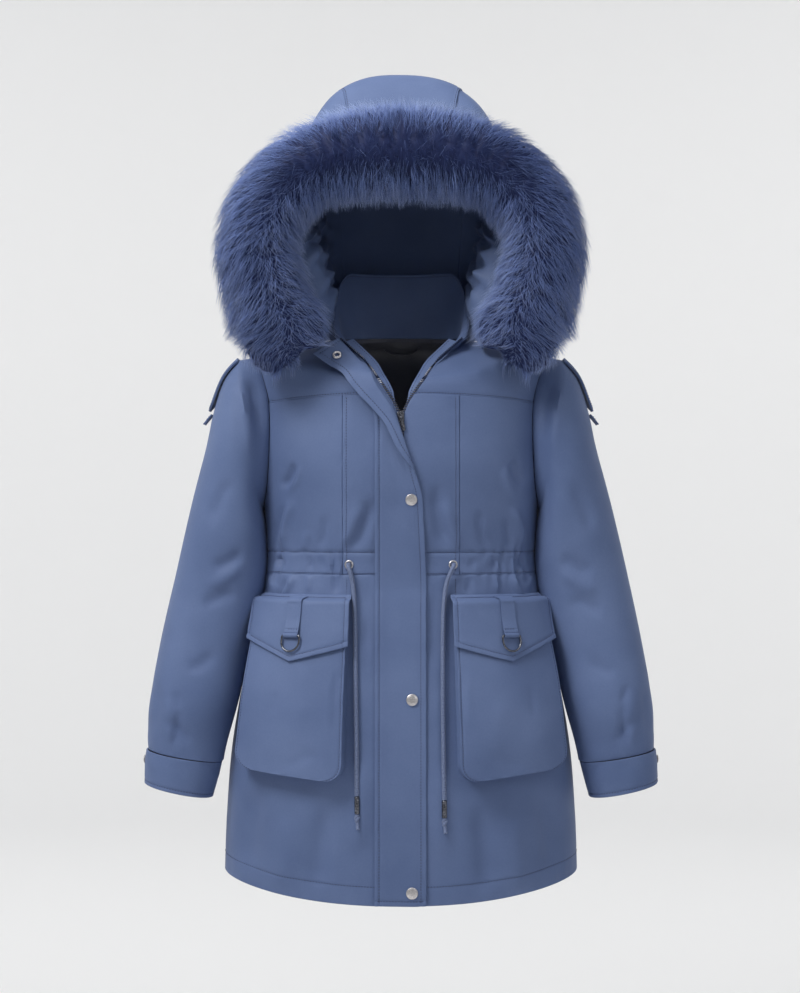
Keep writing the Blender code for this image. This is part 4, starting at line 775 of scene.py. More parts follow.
def makeStitches():  # each stitch is a short four-sided thread that dips into the cloth at both ends
    rows = np.concatenate(stitchRows)
    a, b, out = rows[:, 0], rows[:, 1], unit(rows[:, 2])
    along = unit(b - a)
    across = np.cross(out, along)
    middle, half = (a + b) / 2, np.linalg.norm(b - a, axis=1)[:, None] / 2
    r = sewing["thread"]
    parts = [middle - along * half - out * r * 0.8]
    for share in (-0.55, 0.55):
        for k in range(4):
            turn = 2 * np.pi * k / 4
            parts.append(middle + along * half * share + out * (r * math.cos(turn) + r * 0.35)
                         + across * r * math.sin(turn))
    parts.append(middle + along * half - out * r * 0.8)
    faces = []
    for k in range(4):
        n = (k + 1) % 4
        faces += [(0, 1 + n, 1 + k, 1 + k), (1 + k, 1 + n, 5 + n, 5 + k), (5 + k, 5 + n, 9, 9)]
    mesh = meshOf("sewing_thread", np.stack(parts, 1).reshape(-1, 3), repeatedFaces(faces, 10, len(rows)))
    placed("sewing_thread", mesh, threadShadeLook)
    print("stitches:", len(rows))


def repeatedFaces(faces, points, count):  # the same faces for each small part; a triangle has one point twice
    every = (np.array(faces)[None] + points * np.arange(count)[:, None, None]).reshape(-1, 4)
    return [list(dict.fromkeys(face)) for face in every.tolist()]


insideBody = (0.0, 0.0, -0.35)
bodyLook = {"unevenness": 0.0014, "waves": 11.0, "gathered": 0.003, "creases": 2.9, "step": 0.0041,
            "backStep": 0.0056, "hem": 0.025, "gap": 0.0016, "princessGap": 0.0012, "princessStitch": 0.0052}


def bodyPanel(name, side, span, first, last, creases, down=(), over=(), **edges):
    def pointAt(u, v):
        place = mix(span[1], span[0], u)
        return mirroredX(bodyPoint(place, mix(first(place), last(place), v)), side)

    step = bodyLook["backStep" if "back" in name else "step"]
    u, v, base = fineGrid(pointAt, step, down, over)
    x, z = base[..., 0], base[..., 2]
    softEdge = "top" if name.startswith("skirt") else "" if name.startswith("yoke") else "bottom"
    seams = sewn(base, len(name) + side, soft=softEdge, **edges)
    if name.startswith("skirt_front"):     # the princess seam runs on down to the pocket
        short = smooth((z + 0.372) / 0.006)
        seams = seams - short * (0.0008 * bump(np.abs(x) - princessX, 0.001)
                                 + 0.0005 * bump(np.abs(x) - princessX + bodyLook["princessStitch"], 0.0011))
    run = 0.17 * np.arctan2(x, -base[..., 1])
    for level, depth in zip(channelZ, (0.0008, 0.0015)):     # the waist channel's two rows of stitches
        seams = seams - depth * bump(z - level - 0.001 * pleats(0.8 * run, 5.0), 0.0016)
    outside = np.maximum(np.abs(z - sum(channelZ) / 2) - 0.014, 0)
    leaning = run + 0.25 * (z - channelZ[0]) * np.sin(run / 0.031)
    calm, atSide = bodyLook["waves"], smooth((np.abs(x) - 0.17) / 0.012)
    uneven = bodyLook["unevenness"] * swell(x * calm * 1.4, z * calm, len(name) + side) * (1 - atSide)
    gathered = bodyLook["gathered"] * pleats(leaning, 2.0) * np.exp(-outside / 0.011) * (1 - atSide)
    uneven = uneven + gathered * (1.0 if "back" in name else smooth((np.abs(x) - 0.074) / 0.01))
    folds = bodyLook["creases"] * creased(x, z, creases)
    clothPiece(name, base, insideBody, shellLook, seams, folds + uneven, innerLook=liningLook)


frontFolds = [  # x, z; the wearer's right half
    (-144, -176, -161, -211, 4, 6, -2.2),
    (-134, -180, -149, -214, 3, 5, 0.9),
    (-145, -226, -160, -291, -4, 6.5, 2),
    (-156, -232, -169, -288, -3, 5, -1.4),
    (-127, -268, -131, -295, 1, 3.4, 1.1),
    (-39, -222, -67, -296, 5, 8.5, -2),
    (-56, -232, -84, -294, 4, 7, 1),
    (-100, -245, -109, -295, 2, 5.5, -1),
    (-169, -302, -161, -319, 1, 3.4, -2.4),
    (-125, -301, -121, -321, 2, 3, -1.2),
    (-108, -303, -103, -320, -1, 2.8, -1),
    (-97, -301, -94, -320, 1, 3, 0.9),
    (-145, -327, -163, -357, 3, 4.6, 1.9),
    (-177, -327, -170, -350, -2, 4, 1.4),
    (-123, -326, -124, -350, 1, 3.4, 1.1),
    (-155, -332, -173, -368, 2, 4.2, -1.5),
    (-88, -327, -86, -352, 0, 4.2, -1),
    (-100, -50, -165, -66, 3, 12, -1),
    (-52, -330, -49, -430, 2, 11, -1.2),
    (-47, -560, -60, -690, 3, 13, 1.6),
    (-95, -620, -110, -745, -4, 15, -2.4),
    (-190, -600, -205, -730, -4, 16, -2.2),
    (-150, -640, -158, -740, 3, 14, 1.6),
    (-205, -360, -212, -470, 3, 9, -1.6),
]
leftFolds = [  # the wearer's left half
    (151, -172, 164, -205, -4, 6.2, -1.9),
    (139, -182, 152, -222, -3, 5.6, 0.9),
    (148, -236, 163, -290, 4, 6, 1.7),
    (137, -250, 146, -294, 2, 4.6, -1.3),
    (47, -205, 62, -292, -6, 8.5, -2),
    (60, -225, 79, -292, -3, 7, 1.1),
    (104, -240, 112, -294, -2, 5.5, -1.1),
    (166, -300, 159, -318, -1, 3.4, -2.1),
    (130, -302, 125, -320, -2, 3.1, -1.2),
    (111, -301, 108, -320, 1, 2.8, 0.9),
    (96, -303, 92, -320, 1, 3, -1),
    (149, -328, 166, -360, -3, 4.8, 1.8),
    (174, -327, 168, -347, 2, 4, 1.3),
    (127, -326, 130, -350, -1, 3.4, 1),
    (92, -328, 89, -352, 0, 4.2, -1),
    (106, -50, 160, -68, -3, 12, -1),
    (45, -335, 47, -450, -2, 11, -1.1),
    (50, -570, 58, -700, -3, 13, 1.4),
    (101, -625, 112, -745, 4, 15, -2.2),
    (187, -610, 204, -735, 4, 16, -2.1),
    (146, -640, 160, -742, -3, 14, 1.5),
    (206, -355, 213, -480, -3, 9, -1.5),
]
backFolds = [
    (-147, -186, -135, -245, -4, 10, -2),
    (146, -188, 137, -242, 4, 9.5, -1.8),
    (-60, -190, -85, -290, 6, 11, -2.2),
    (52, -200, 78, -292, -6, 11, -2.1),
    (-8, -225, 6, -294, 3, 9, 1.6),
    (-120, -236, -128, -294, 2, 6, 1.7),
    (118, -232, 126, -294, -2, 6, 1.6),
    (-94, -300, -90, -321, 1, 3.4, -1.4),
    (-50, -302, -47, -320, 1, 3.2, -1.2),
    (22, -301, 19, -321, 1, 3.2, -1.3),
    (71, -302, 75, -320, -1, 3.4, -1.2),
    (131, -301, 127, -320, 1, 3.4, -1.4),
    (-135, -328, -152, -372, 3, 6, 1.8),
    (-68, -328, -76, -380, -2, 7, 1.6),
    (4, -328, 0, -375, 2, 7, 1.5),
    (66, -328, 78, -385, 3, 7, 1.7),
    (139, -328, 154, -368, -3, 6, 1.8),
    (-130, -470, -158, -735, -10, 20, -3.4),
    (-40, -500, -52, -740, 8, 23, 3.4),
    (48, -480, 62, -742, -9, 22, -3.6),
    (140, -510, 155, -730, 6, 20, 3),
    (-196, -540, -214, -715, 4, 14, -2.4),
    (198, -530, 213, -710, -4, 14, -2.2),
    (-115, -75, -80, -58, 4, 13, -1.1),
    (112, -78, 78, -60, -4, 13, -1.1),
]


def princessAngle(apart):
    return lambda place: angleAt(place, princessX) + apart


def backLeft(place):
    return backAngle - (backAngle - sideAngle) * (outerSide(place) / sideAngle)


def backRight(place):
    return 2 * backAngle - backLeft(place)


def makeBody():
    hem, gap, apart, line = (bodyLook[key] for key in ("hem", "gap", "princessGap", "princessStitch"))
    skirt, waist = (hemRow, channelRow - gap), (channelRow + gap, yokeRow - gap)
    yoke, channel = (yokeRow + gap, neckRow - gap), (channelZ[0] - channelZ[1],)
    for tail, side in sides:
        creases = frontFolds if side < 0 else leftFolds
        bodyPanel("front_centre" + tail, side, waist, edgeAngle, princessAngle(-apart), creases, channel,
                  (line,), right=(line,))
        bodyPanel("front_side" + tail, side, waist, princessAngle(apart), outerSide, creases, channel)
        bodyPanel("yoke_front" + tail, side, yoke, edgeAngle, outerSide, creases, bottom=(0.002,))
        bodyPanel("skirt_front" + tail, side, skirt, edgeAngle, outerSide, creases, (-hem,), bottom=(hem,))
        stitchEdges("front_centre" + tail, right=line)
        stitchEdges("yoke_front" + tail, bottom=0.0026)
        stitchEdges("skirt_front" + tail, bottom=hem)
        zs = np.linspace(channelZ[0] - 0.002, -0.364, 14)
        points = onFront(np.full(14, side * (princessX - line)), zs, np.zeros(14))
        stitch(points, frontNormal(points[:, 0], zs))
        channelStitches("front_centre" + tail)
        channelStitches("front_side" + tail)
    bodyPanel("back", 1.0, waist, backLeft, backRight, backFolds, channel)
    bodyPanel("back_yoke", 1.0, yoke, backLeft, backRight, backFolds, bottom=(0.002,))
    bodyPanel("skirt_back", 1.0, skirt, backLeft, backRight, backFolds, (-hem,), bottom=(hem,))
    stitchEdges("back_yoke", bottom=0.0026)
    stitchEdges("skirt_back", bottom=hem)
    channelStitches("back")


def channelStitches(name):  # the two rows that hold the waist cord's channel
    outer, normals = (grid[::-1] for grid in sewnLines[name][:2])
    for level in (channelZ[0] + 0.0022, channelZ[1]):
        line = [sampled(outer[:, j], outer[:, j, 2], level) for j in range(outer.shape[1])]
        out = [sampled(normals[:, j], outer[:, j, 2], level) for j in range(outer.shape[1])]
        stitch(np.array(line), np.array(out))


makeBody()
print("body made")


sleeveRows = [  # inner x, inner z, outer x, outer z, half depth, middle y
    (0.19, -0.243, 0.222, -0.033, 0.079, -0.003),
    (0.187, -0.253, 0.243, -0.06, 0.08, -0.005),
    (0.185, -0.268, 0.258, -0.105, 0.078, -0.008),
    (0.1835, -0.29, 0.2685, -0.155, 0.074, -0.011),
    (0.183, -0.325, 0.2865, -0.225, 0.069, -0.011),
    (0.189, -0.375, 0.3085, -0.32, 0.063, -0.011),
    (0.208, -0.435, 0.329, -0.415, 0.06, -0.018),
    (0.222, -0.5, 0.3435, -0.5, 0.057, -0.03),
    (0.237, -0.555, 0.3455, -0.545, 0.05, -0.033),
    (0.243, -0.5825, 0.345, -0.565, 0.047, -0.034),
]
cuffRows = [
    (0.244, -0.5833, 0.3475, -0.5658, 0.0485, -0.034),
    (0.2485, -0.601, 0.3495, -0.582, 0.049, -0.0345),
    (0.2565, -0.631, 0.35, -0.611, 0.048, -0.035),
]
sleeveShape = {"power": 2.15, "clear": 0.0003, "armholeGap": 0.0007, "turns": 88, "wall": 0.0024,
               "creases": 2.3, "cuffStitch": 0.0052}


def roundSleeve(section, turn):  # turn 0 is the outer side, 90 degrees the front
    innerX, innerZ, outerX, outerZ, depth, middleY = np.moveaxis(section, -1, 0)
    middle = vec((innerX + outerX) / 2, middleY, (innerZ + outerZ) / 2)
    out = vec((outerX - innerX) / 2, 0.0 * outerX, (outerZ - innerZ) / 2)
    across = signedPower(np.cos(turn), 2 / sleeveShape["power"])
    ahead = signedPower(np.sin(turn), 2 / sleeveShape["power"])
    return middle + out * across[..., None] + vec(0 * ahead, -depth * ahead, 0 * ahead)


def clearOfBody(points):
    places = np.linspace(0, yokeRow, 500)
    level = np.interp(points[..., 2], row(bodyRows, places)[:, 1], places)
    r = row(bodyRows, level)
    depth = np.where(points[..., 1] < 0, r[..., 4], r[..., 5])
    angle = np.arctan2((np.abs(points[..., 0]) / r[..., 3]) ** 1.1, -signedPower(points[..., 1] / depth, 1.1))
    wave = 1 + gatherWave(level, angle) / r[..., 3]
    half, depth = r[..., 3] * wave + sleeveShape["clear"], depth * wave + sleeveShape["clear"]
    inside = (np.abs(points[..., 0]) / half) ** r[..., 6] + (np.abs(points[..., 1]) / depth) ** r[..., 6]
    grow = np.maximum(inside, 1e-6) ** (-1 / r[..., 6])
    grow = np.where((points[..., 2] < -0.19) & (inside < 1), grow, 1.0)
    return points * vec(grow, grow, 1.0)


def armholePoint(turn):
    bite = np.maximum(armholeBite * np.abs(np.sin(turn)) ** 0.8 - sleeveShape["armholeGap"], 0.0)
    return bodyPoint(armholeMiddle + armholeReach * np.cos(turn),
                     sideAngle - np.where(np.sin(turn) >= 0, bite, -bite))


def sleevePoint(place, turn):
    place, turn = paired(place, turn)
    point = clearOfBody(roundSleeve(row(sleeveRows, np.maximum(place, 0)), turn))
    start = armholePoint(turn)
    share = (np.minimum(place, 0) + 1)[..., None]
    return np.where((place < 0)[..., None], start + (point - start) * share, point)


sleeveFolds = {  # x, z on the front half, then on the back half
    -1.0: ([(-202, -62, -190, -140, 3, 8, -2.2),
            (-216, -75, -205, -165, 4, 8, 1.6),
            (-226, -200, -254, -262, -6, 9, -1.6),
            (-212, -295, -256, -318, 4, 8, -2.2),
            (-214, -312, -262, -345, 3, 7.5, 1.6),
            (-222, -352, -268, -372, -4, 8, -1.8),
            (-250, -430, -290, -455, 5, 9, -1.4),
            (-303, -484, -299, -506, 0, 4, -1.4),
            (-299, -505, -306, -560, 2, 4.2, -1.4),
            (-311, -490, -312, -556, 1, 6, 1),
            (-318, -520, -284, -556, 4, 7, -1.6),
            (-330, -470, -336, -545, 3, 9, -1.2)],
           [(-230, -80, -222, -160, 4, 10, -2),
            (-226, -280, -282, -305, -5, 9, -2.2),
            (-232, -335, -290, -350, 5, 9, -2),
            (-250, -400, -300, -430, -5, 10, 1.8),
            (-262, -490, -272, -560, 3, 6, -2.2),
            (-312, -500, -318, -558, 2, 6, -2)]),
    1.0: ([(202, -64, 192, -138, -3, 8, -2),
           (217, -75, 207, -170, -4, 8, 1.5),
           (224, -205, 256, -270, 6, 9, -1.6),
           (214, -300, 258, -326, -4, 8, -2),
           (216, -320, 266, -352, -3, 7.5, 1.6),
           (225, -362, 272, -380, 4, 8, -1.6),
           (252, -436, 288, -460, -5, 9, -1.4),
           (304, -474, 296, -500, 0, 4, -1.4),
           (296, -499, 303, -560, -2, 4.2, -1.4),
           (309, -488, 311, -558, -1, 6, 1),
           (320, -518, 286, -556, -4, 7, -1.5),
           (331, -470, 337, -548, -3, 9, -1.2)],
          [(230, -82, 224, -158, -4, 10, -2),
           (226, -286, 284, -300, 5, 9, -2.2),
           (234, -330, 288, -356, -5, 9, -2),
           (248, -410, 302, -428, 5, 10, 1.8),
           (264, -492, 270, -560, -3, 6, -2.2),
           (314, -498, 316, -558, -2, 6, -2)]),
}
cuffFolds = {-1.0: [(-268, -578, -250, -598, 2, 4.5, -1.6),
                    (-262, -590, -247, -606, 1, 4, 1.2),
                    (-300, -580, -292, -600, 1, 6, -0.9)],
             1.0: [(270, -580, 252, -600, -2, 4.5, -1.5),
                   (304, -578, 298, -598, -1, 6, -0.9)]}


def makeSleeves():
    turns, ends, hem = sleeveShape["turns"], (True, True, False, False), sleeveShape["cuffStitch"]
    for tail, side in sides:
        def pointAt(u, v):
            return mirroredX(sleevePoint(mix(-1.0, 9.0, u), 2 * np.pi * v), side)

        def cuffAt(u, v):
            return mirroredX(roundSleeve(straightRow(cuffRows, 2.0 * u), 2 * np.pi * v), side)

        u, v, base = fineGrid(pointAt, 0.0052, seams=ends, turns=turns)
        ahead = smooth(0.5 + 2.2 * np.sin(2 * np.pi * v))
        x, z = base[..., 0], base[..., 2]
        front, back = (creased(x, z, creases) for creases in sleeveFolds[side])
        folds = sleeveShape["creases"] * (ahead * front + (1 - ahead) * back)
        folds = folds + 0.0013 * swell(5 * v * 2 * np.pi / 6, z * 13, side + 4)
        folds = folds * within(u, 0.05, 0.03)
        folds = folds * smooth((1 + np.cos(2 * np.pi * v)) / 0.3)       # smooth where it lies on the body
        seams = sewn(base, 5 + side, 0.0006, top=(0.0014,), left=None, right=None)
        clothPiece("sleeve" + tail, base, (side * 0.25, -0.02, -0.3), shellLook, seams, folds,
                   sleeveShape["wall"], innerLook=liningLook, closed=True)
        u, v, base = fineGrid(cuffAt, 0.004, (-hem,), seams=ends, turns=turns)
        ahead = smooth(0.5 + 2.2 * np.sin(2 * np.pi * v))
        folds = ahead * creased(base[..., 0], base[..., 2], cuffFolds[side])
        seams = sewn(base, 9 + side, bottom=(hem,), left=None, right=None)
        clothPiece("cuff" + tail, base, (side * 0.297, -0.034, -0.59), shellLook, seams, folds,
                   sleeveShape["wall"], innerLook=liningLook, closed=True)
        stitchEdges("cuff" + tail, 0.0, bottom=hem)


makeSleeves()
print("sleeves made")


collarShape = {"topHalf": 0.094, "topFront": 0.118, "topBack": 0.088, "power": 2.4, "stitch": 0.004,
               "corner": math.radians(61.0), "cornerZ": -0.01, "backZ": 0.094, "rise": math.radians(75.0)}


def collarEdges(share):  # the bottom and top point; share 0 is the front edge, 1 the back
    share = np.asarray(share, float)
    start = edgeAngle(np.array([neckRow]), 0.0012)[0]
    low = bodyPoint(np.full(share.shape, neckRow), mix(start, backAngle, share))
    angle = mix(collarShape["corner"], backAngle, share)
    c, s = np.cos(angle), np.sin(angle)
    depth = np.where(c > 0, collarShape["topFront"], collarShape["topBack"])
    rise = smooth((angle - collarShape["corner"]) / collarShape["rise"])
    high = vec(collarShape["topHalf"] * signedPower(s, 2 / collarShape["power"]),
               -depth * signedPower(c, 2 / collarShape["power"]),
               mix(collarShape["cornerZ"], collarShape["backZ"], rise))
    return low * np.array((0.985, 0.985, 1.0)) + np.array((0, 0, 0.0012)), high


def collarPoint(up, share):
    up, share = paired(up, share)
    low, high = collarEdges(np.minimum(share, 2 - share))
    return (low + (high - low) * up[..., None]) * vec(np.where(share <= 1, 1.0, -1.0), 1.0, 1.0)


def makeCollar():
    line = collarShape["stitch"]
    u, v, base = fineGrid(lambda u, v: collarPoint(1 - u, 2 * v), 0.0042, (line,), (line,))
    seams = sewn(base, 2.0, 0.0007, top=(line,), left=(line,), right=(line,))
    folds = 0.0007 * swell(base[..., 0] * 16, base[..., 2] * 30, 3)
    clothPiece("collar", base, (0, 0, 0.04), shellLook, seams, folds, 0.0025)
    stitchEdges("collar", inner=True, top=line)
    stitchEdges("collar", left=line, right=line)


furRows = [  # x, z, y, radial reach, depth, where the hood meets it in degrees
    (0.153, -0.05, -0.116, 0.02, 0.014, 165.0),
    (0.161, -0.034, -0.12, 0.05, 0.034, 165.0),
    (0.164, -0.002, -0.124, 0.067, 0.044, 155.0),
    (0.177, 0.045, -0.128, 0.0635, 0.05, 140.0),
    (0.188, 0.102, -0.13, 0.061, 0.053, 125.0),
    (0.174, 0.159, -0.126, 0.061, 0.055, 115.0),
    (0.13, 0.207, -0.12, 0.0635, 0.056, 105.0),
    (0.073, 0.228, -0.116, 0.069, 0.056, 97.0),
    (0.0000, 0.2355, -0.115, 0.0725, 0.056, 95.0),
]


def furFrame(place):
    place = np.asarray(place, float)
    r = row(furRows, place)
    ahead = row(furRows, place + 0.1) - row(furRows, place - 0.1)
    ahead = np.where((place > 7.9)[..., None], np.array((-1.0, 0, 0, 0, 0, 0)), ahead)
    out = unit(vec(ahead[..., 1], 0 * ahead[..., 1], -ahead[..., 0]))
    return vec(r[..., 0], r[..., 2], r[..., 1]), out, r[..., 3], r[..., 4], np.radians(r[..., 5])


def furPoint(place, turn, grow=0.0, reach=1.0):  # turn 0 is the outer side, 90 degrees the back
    place, turn = paired(place, turn)
    middle, out, radial, depth, _ = furFrame(place)
    return (middle + out * ((radial + grow) * reach * np.cos(turn))[..., None]
            + vec(0 * turn, (depth + grow) * reach * np.sin(turn), 0 * turn))


hoodRows = [  # where each row leaves the fur strip, back y, back z, power
    (1.8, 0.07, 0.002, 3.4), (2.25, 0.112, 0.045, 3.2), (2.9, 0.14, 0.11, 2.7),
    (3.6, 0.152, 0.185, 2.4), (4.3, 0.143, 0.262, 2.5), (4.9, 0.112, 0.325, 2.6),
    (5.4, 0.062, 0.365, 2.6), (5.8, 0.005, 0.361, 2.6), (6.1, -0.035, 0.315, 2.6),
]
hoodShape = {"archRow": 6.4, "strip": 0.36, "gap": 0.0012, "wall": 0.003, "foot": 0.0004, "puff": 0.036,
             "wrinkle": 0.0046, "fill": 0.45, "stitch": 0.003, "inside": (0, -0.02, 0.13)}


def rimPoint(place):
    return furPoint(place, furFrame(place)[4], -0.01)


def shoulderZ(x, y):
    low, high = np.full(x.shape, shoulderRow), np.full(x.shape, neckRow)
    for _ in range(24):
        place = (low + high) / 2
        r = row(bodyRows, place)
        depth = np.where(y < 0, r[..., 4], r[..., 5])
        inside = (np.abs(x) / r[..., 3]) ** r[..., 6] + (np.abs(y) / depth) ** r[..., 6] < 1
        low, high = np.where(inside, place, low), np.where(inside, high, place)
    r = row(bodyRows, low)
    endZ = np.where(y < 0, r[..., 0], r[..., 2])
    return mix(endZ, r[..., 1], np.minimum(np.abs(x) / r[..., 3], 1.0) ** r[..., 6])


def hoodPoint(place, turn):  # turn runs from -90 to 90 degrees, over the back
    place, turn = paired(place, turn)
    last = len(hoodRows) - 1
    r = row(hoodRows, np.minimum(place, last))
    rim = rimPoint(r[..., 0])
    front = rim * np.array((0, 1.0, 1.0))
    back = vec(0 * place, r[..., 1], r[..., 2])
    ahead = np.abs(np.cos(turn)) ** (2 / r[..., 3])
    across = signedPower(np.sin(turn), 2 / r[..., 3])
    point = front + (back - front) * ahead[..., None] + vec(rim[..., 0] * across, 0 * across, 0 * across)
    foot = np.max([shoulderZ(point[..., 0] * f, point[..., 1] * f) for f in (1.0, 0.96, 0.92)], 0)
    lifted = mix(foot + hoodShape["foot"], rim[..., 2], smooth((-0.055 - point[..., 1]) / 0.05))
    lifted = mix(lifted, point[..., 2], smooth(place))
    point = vec(point[..., 0], point[..., 1], np.where(place < 1, lifted, point[..., 2]))
    arch = rimPoint(mix(len(furRows) - 1, hoodShape["archRow"], np.abs(turn) / sideAngle))
    arch = arch * vec(np.sign(turn), 1.0, 1.0)
    over = np.clip(place - last, 0, 1)[..., None]
    return point + (arch - point) * over


def makeHood():
    seam, gap, line = hoodShape["strip"] * sideAngle, hoodShape["gap"], hoodShape["stitch"]

    def centreAt(u, v):
        return hoodPoint(mix(len(hoodRows), 0, u), mix(-seam + gap, seam - gap, v))

    u, v, base = fineGrid(centreAt, 0.0052, over=(line,))
    seams = sewn(base, 4, 0.0006, left=(line,), right=(line,))
    clothPiece("hood_centre", base, hoodShape["inside"], shellLook, seams, 0.0011 * swell(v * 5, u * 9, 6),
               hoodShape["wall"])
    stitchEdges("hood_centre", left=line, right=line)
    for tail, side in sides:
        def sideAt(u, v):
            return mirroredX(hoodPoint(mix(len(hoodRows), 0, u), mix(seam + gap, sideAngle, v)), side)

        u, v, base = fineGrid(sideAt, 0.0048)
        folds = 0.0018 * swell(v * 6, u * 8, 8 + side)
        y, z = base[..., 1], base[..., 2]
        # padding under a gathered lining, creased where it turns out to the face
        fullness = within(v, 0.3, 0.1) * within(u, 0.12, 0.1)
        fullness = fullness * mix(0.45, 1.0, smooth((z - 0.005) / 0.06))
        a, b = y + 0.35 * z, z - 0.3 * y
        wave = np.sin(b / 0.0052 + 1.3 * np.sin(a / 0.021 + side) + 0.8 * np.sin(b / 0.031 + 2 * side))
        wave = wave + 0.7 * np.sin(b / 0.0034 - a / 0.011 + 1.7 * np.sin(a / 0.034) + side)
        puff = fullness * (hoodShape["puff"] * smooth(v / 0.85)
                           + hoodShape["wrinkle"] * (signedPower(wave, 0.7) - 0.4)
                           + 0.003 * swell(a * 30, b * 36, 3 + side))
        piece = clothPiece("hood_side" + tail, base, hoodShape["inside"], shellLook,
                           sewn(base, 6 + side, 0.0006), folds, hoodShape["wall"], innerSwell=puff,
                           declare=False)


makeCollar()
makeHood()
print("collar and hood made")


flapRows = [  # seam x, seam z, fold x, fold z, edge x, edge z, height of the roll
    (-0.065, -0.07, -0.042, -0.0575, -0.066, -0.0755, 0.007),
    (-0.0545, -0.0888, -0.031, -0.0745, -0.0535, -0.09, 0.0066),
    (-0.0375, -0.1076, -0.015, -0.099, -0.0375, -0.107, 0.0064),
    (-0.0345, -0.13, -0.004, -0.1248, -0.02, -0.129, 0.006),
    (-0.0345, -0.161, 0.0065, -0.1575, -0.005, -0.16, 0.005),
    (-0.0345, -0.193, 0.0165, -0.1915, 0.0175, -0.1915, 0.004),
    (-0.0345, -0.216, 0.017, -0.216, 0.0265, -0.216, 0.0016),
    (-0.0345, -0.2453, 0.017, -0.2453, 0.0293, -0.2453, 0.0003),
    (-0.0345, -0.2965, 0.017, -0.2965, 0.0328, -0.2965, 0.0000),
] + [(-0.0345, z, 0.017, z, 0.033, z, 0.0) for z in (-0.37, -0.45, -0.56, -0.66)] + [
    (-0.0345, -0.7572, 0.017, -0.7578, 0.033, -0.7572, 0.0),
]
flapCorner = [  # the two levels at the collar: seam, fold, roll and free edge
    ((-0.095, -0.045, -0.014), (-0.0832, -0.0735, -0.0095),
     (-0.085, -0.0805, -0.01), (-0.1172, -0.096, -0.032)),
    ((-0.08, -0.076, -0.048), (-0.0545, -0.0965, -0.0415),
     (-0.056, -0.1035, -0.042), (-0.079, -0.109, -0.06)),
]
flapLevels = [0.5 * k for k in range(15)] + [8, 9, 10.5, 11, 12, 13, 13.5, 14, 15]
flapShape = {"lift": 0.0034, "turned": 0.0098, "steps": (4, 2, 4), "wall": 0.0022, "step": 0.004,
             "top": 0.0055, "bottom": 0.0066, "left": 0.0062, "right": 0.0075}      # rows of stitches
flapFolds = [  # x, z: soft pulls where the flap turns over
    (-16, -132, 14, -206, 4, 5, -1.1),
    (-20, -148, 3, -212, -4, 5, -0.9),
    (4, -215, 10, -300, 2, 8, 0.6),
    (-22, -330, -16, -470, 3, 9, -0.6),
    (18, -520, 22, -640, -3, 9, -0.6),
]


def bodyTree():
    places = np.linspace(8, 12, 41)[:, None]
    angles = np.radians(-100 + 5 * np.arange(41))[None]
    points = bodyPoint(places, angles).reshape(-1, 3)
    faces = [(k, k + 1, k + 42, k + 41) for i in range(40) for k in range(i * 41, i * 41 + 40)]
    return BVHTree.FromPolygons(points.tolist(), faces)


def heldOff(tree, point, lift):
    near, normal, _, _ = tree.find_nearest(point)
    if normal.y > 0 and normal.z < 0:
        normal = -normal
    height = (point - near).dot(normal)
    return point + normal * (lift - height) if height < lift else point


def flapGuides(level):
    if level < 2.0:
        corner = [np.array(guides).ravel() for guides in flapCorner]
        below = [flapGuides(place).ravel() for place in (2.0, 3.0)]
        return row(corner + below, level).reshape(4, 3)
    seamX, seamZ, foldX, foldZ, edgeX, edgeZ, out = row(flapRows, level - 2.0)
    out = max(out, 0.0)
    lift = flapShape["lift"]
    seam, fold = onFront(seamX, seamZ, lift), onFront(foldX, foldZ, lift)
    edge = onFront(edgeX, edgeZ, lift + 1.25 * out)
    over = fold + frontNormal(foldX, foldZ) * out
    flat = smooth((edgeX - foldX) / 0.01 + 0.4)
    return np.stack([seam, fold, mix(over, mix(fold, edge, 0.12), flat), edge])


def flapRow(level, tree):
    guides = flapGuides(level)
    points = []
    for a, b, count in zip(guides, guides[1:], flapShape["steps"]):
        points += [mix(a, b, i / count) for i in range(count)]
    points = np.array(points + [guides[-1]])
    for _ in range(2):
        points[1:-1] = (points[:-2] + 2 * points[1:-1] + points[2:]) / 4
    if level < 6.0:
        base = flapShape["lift"] + 0.0008 * float(smooth(5.0 - level))
        for i in range(len(points)):
            turned = float(smooth((i / (len(points) - 1) - 0.42) / 0.16) * smooth(5.2 - level))
            points[i] = heldOff(tree, Vector(points[i]), mix(base, flapShape["turned"], turned))
    return points


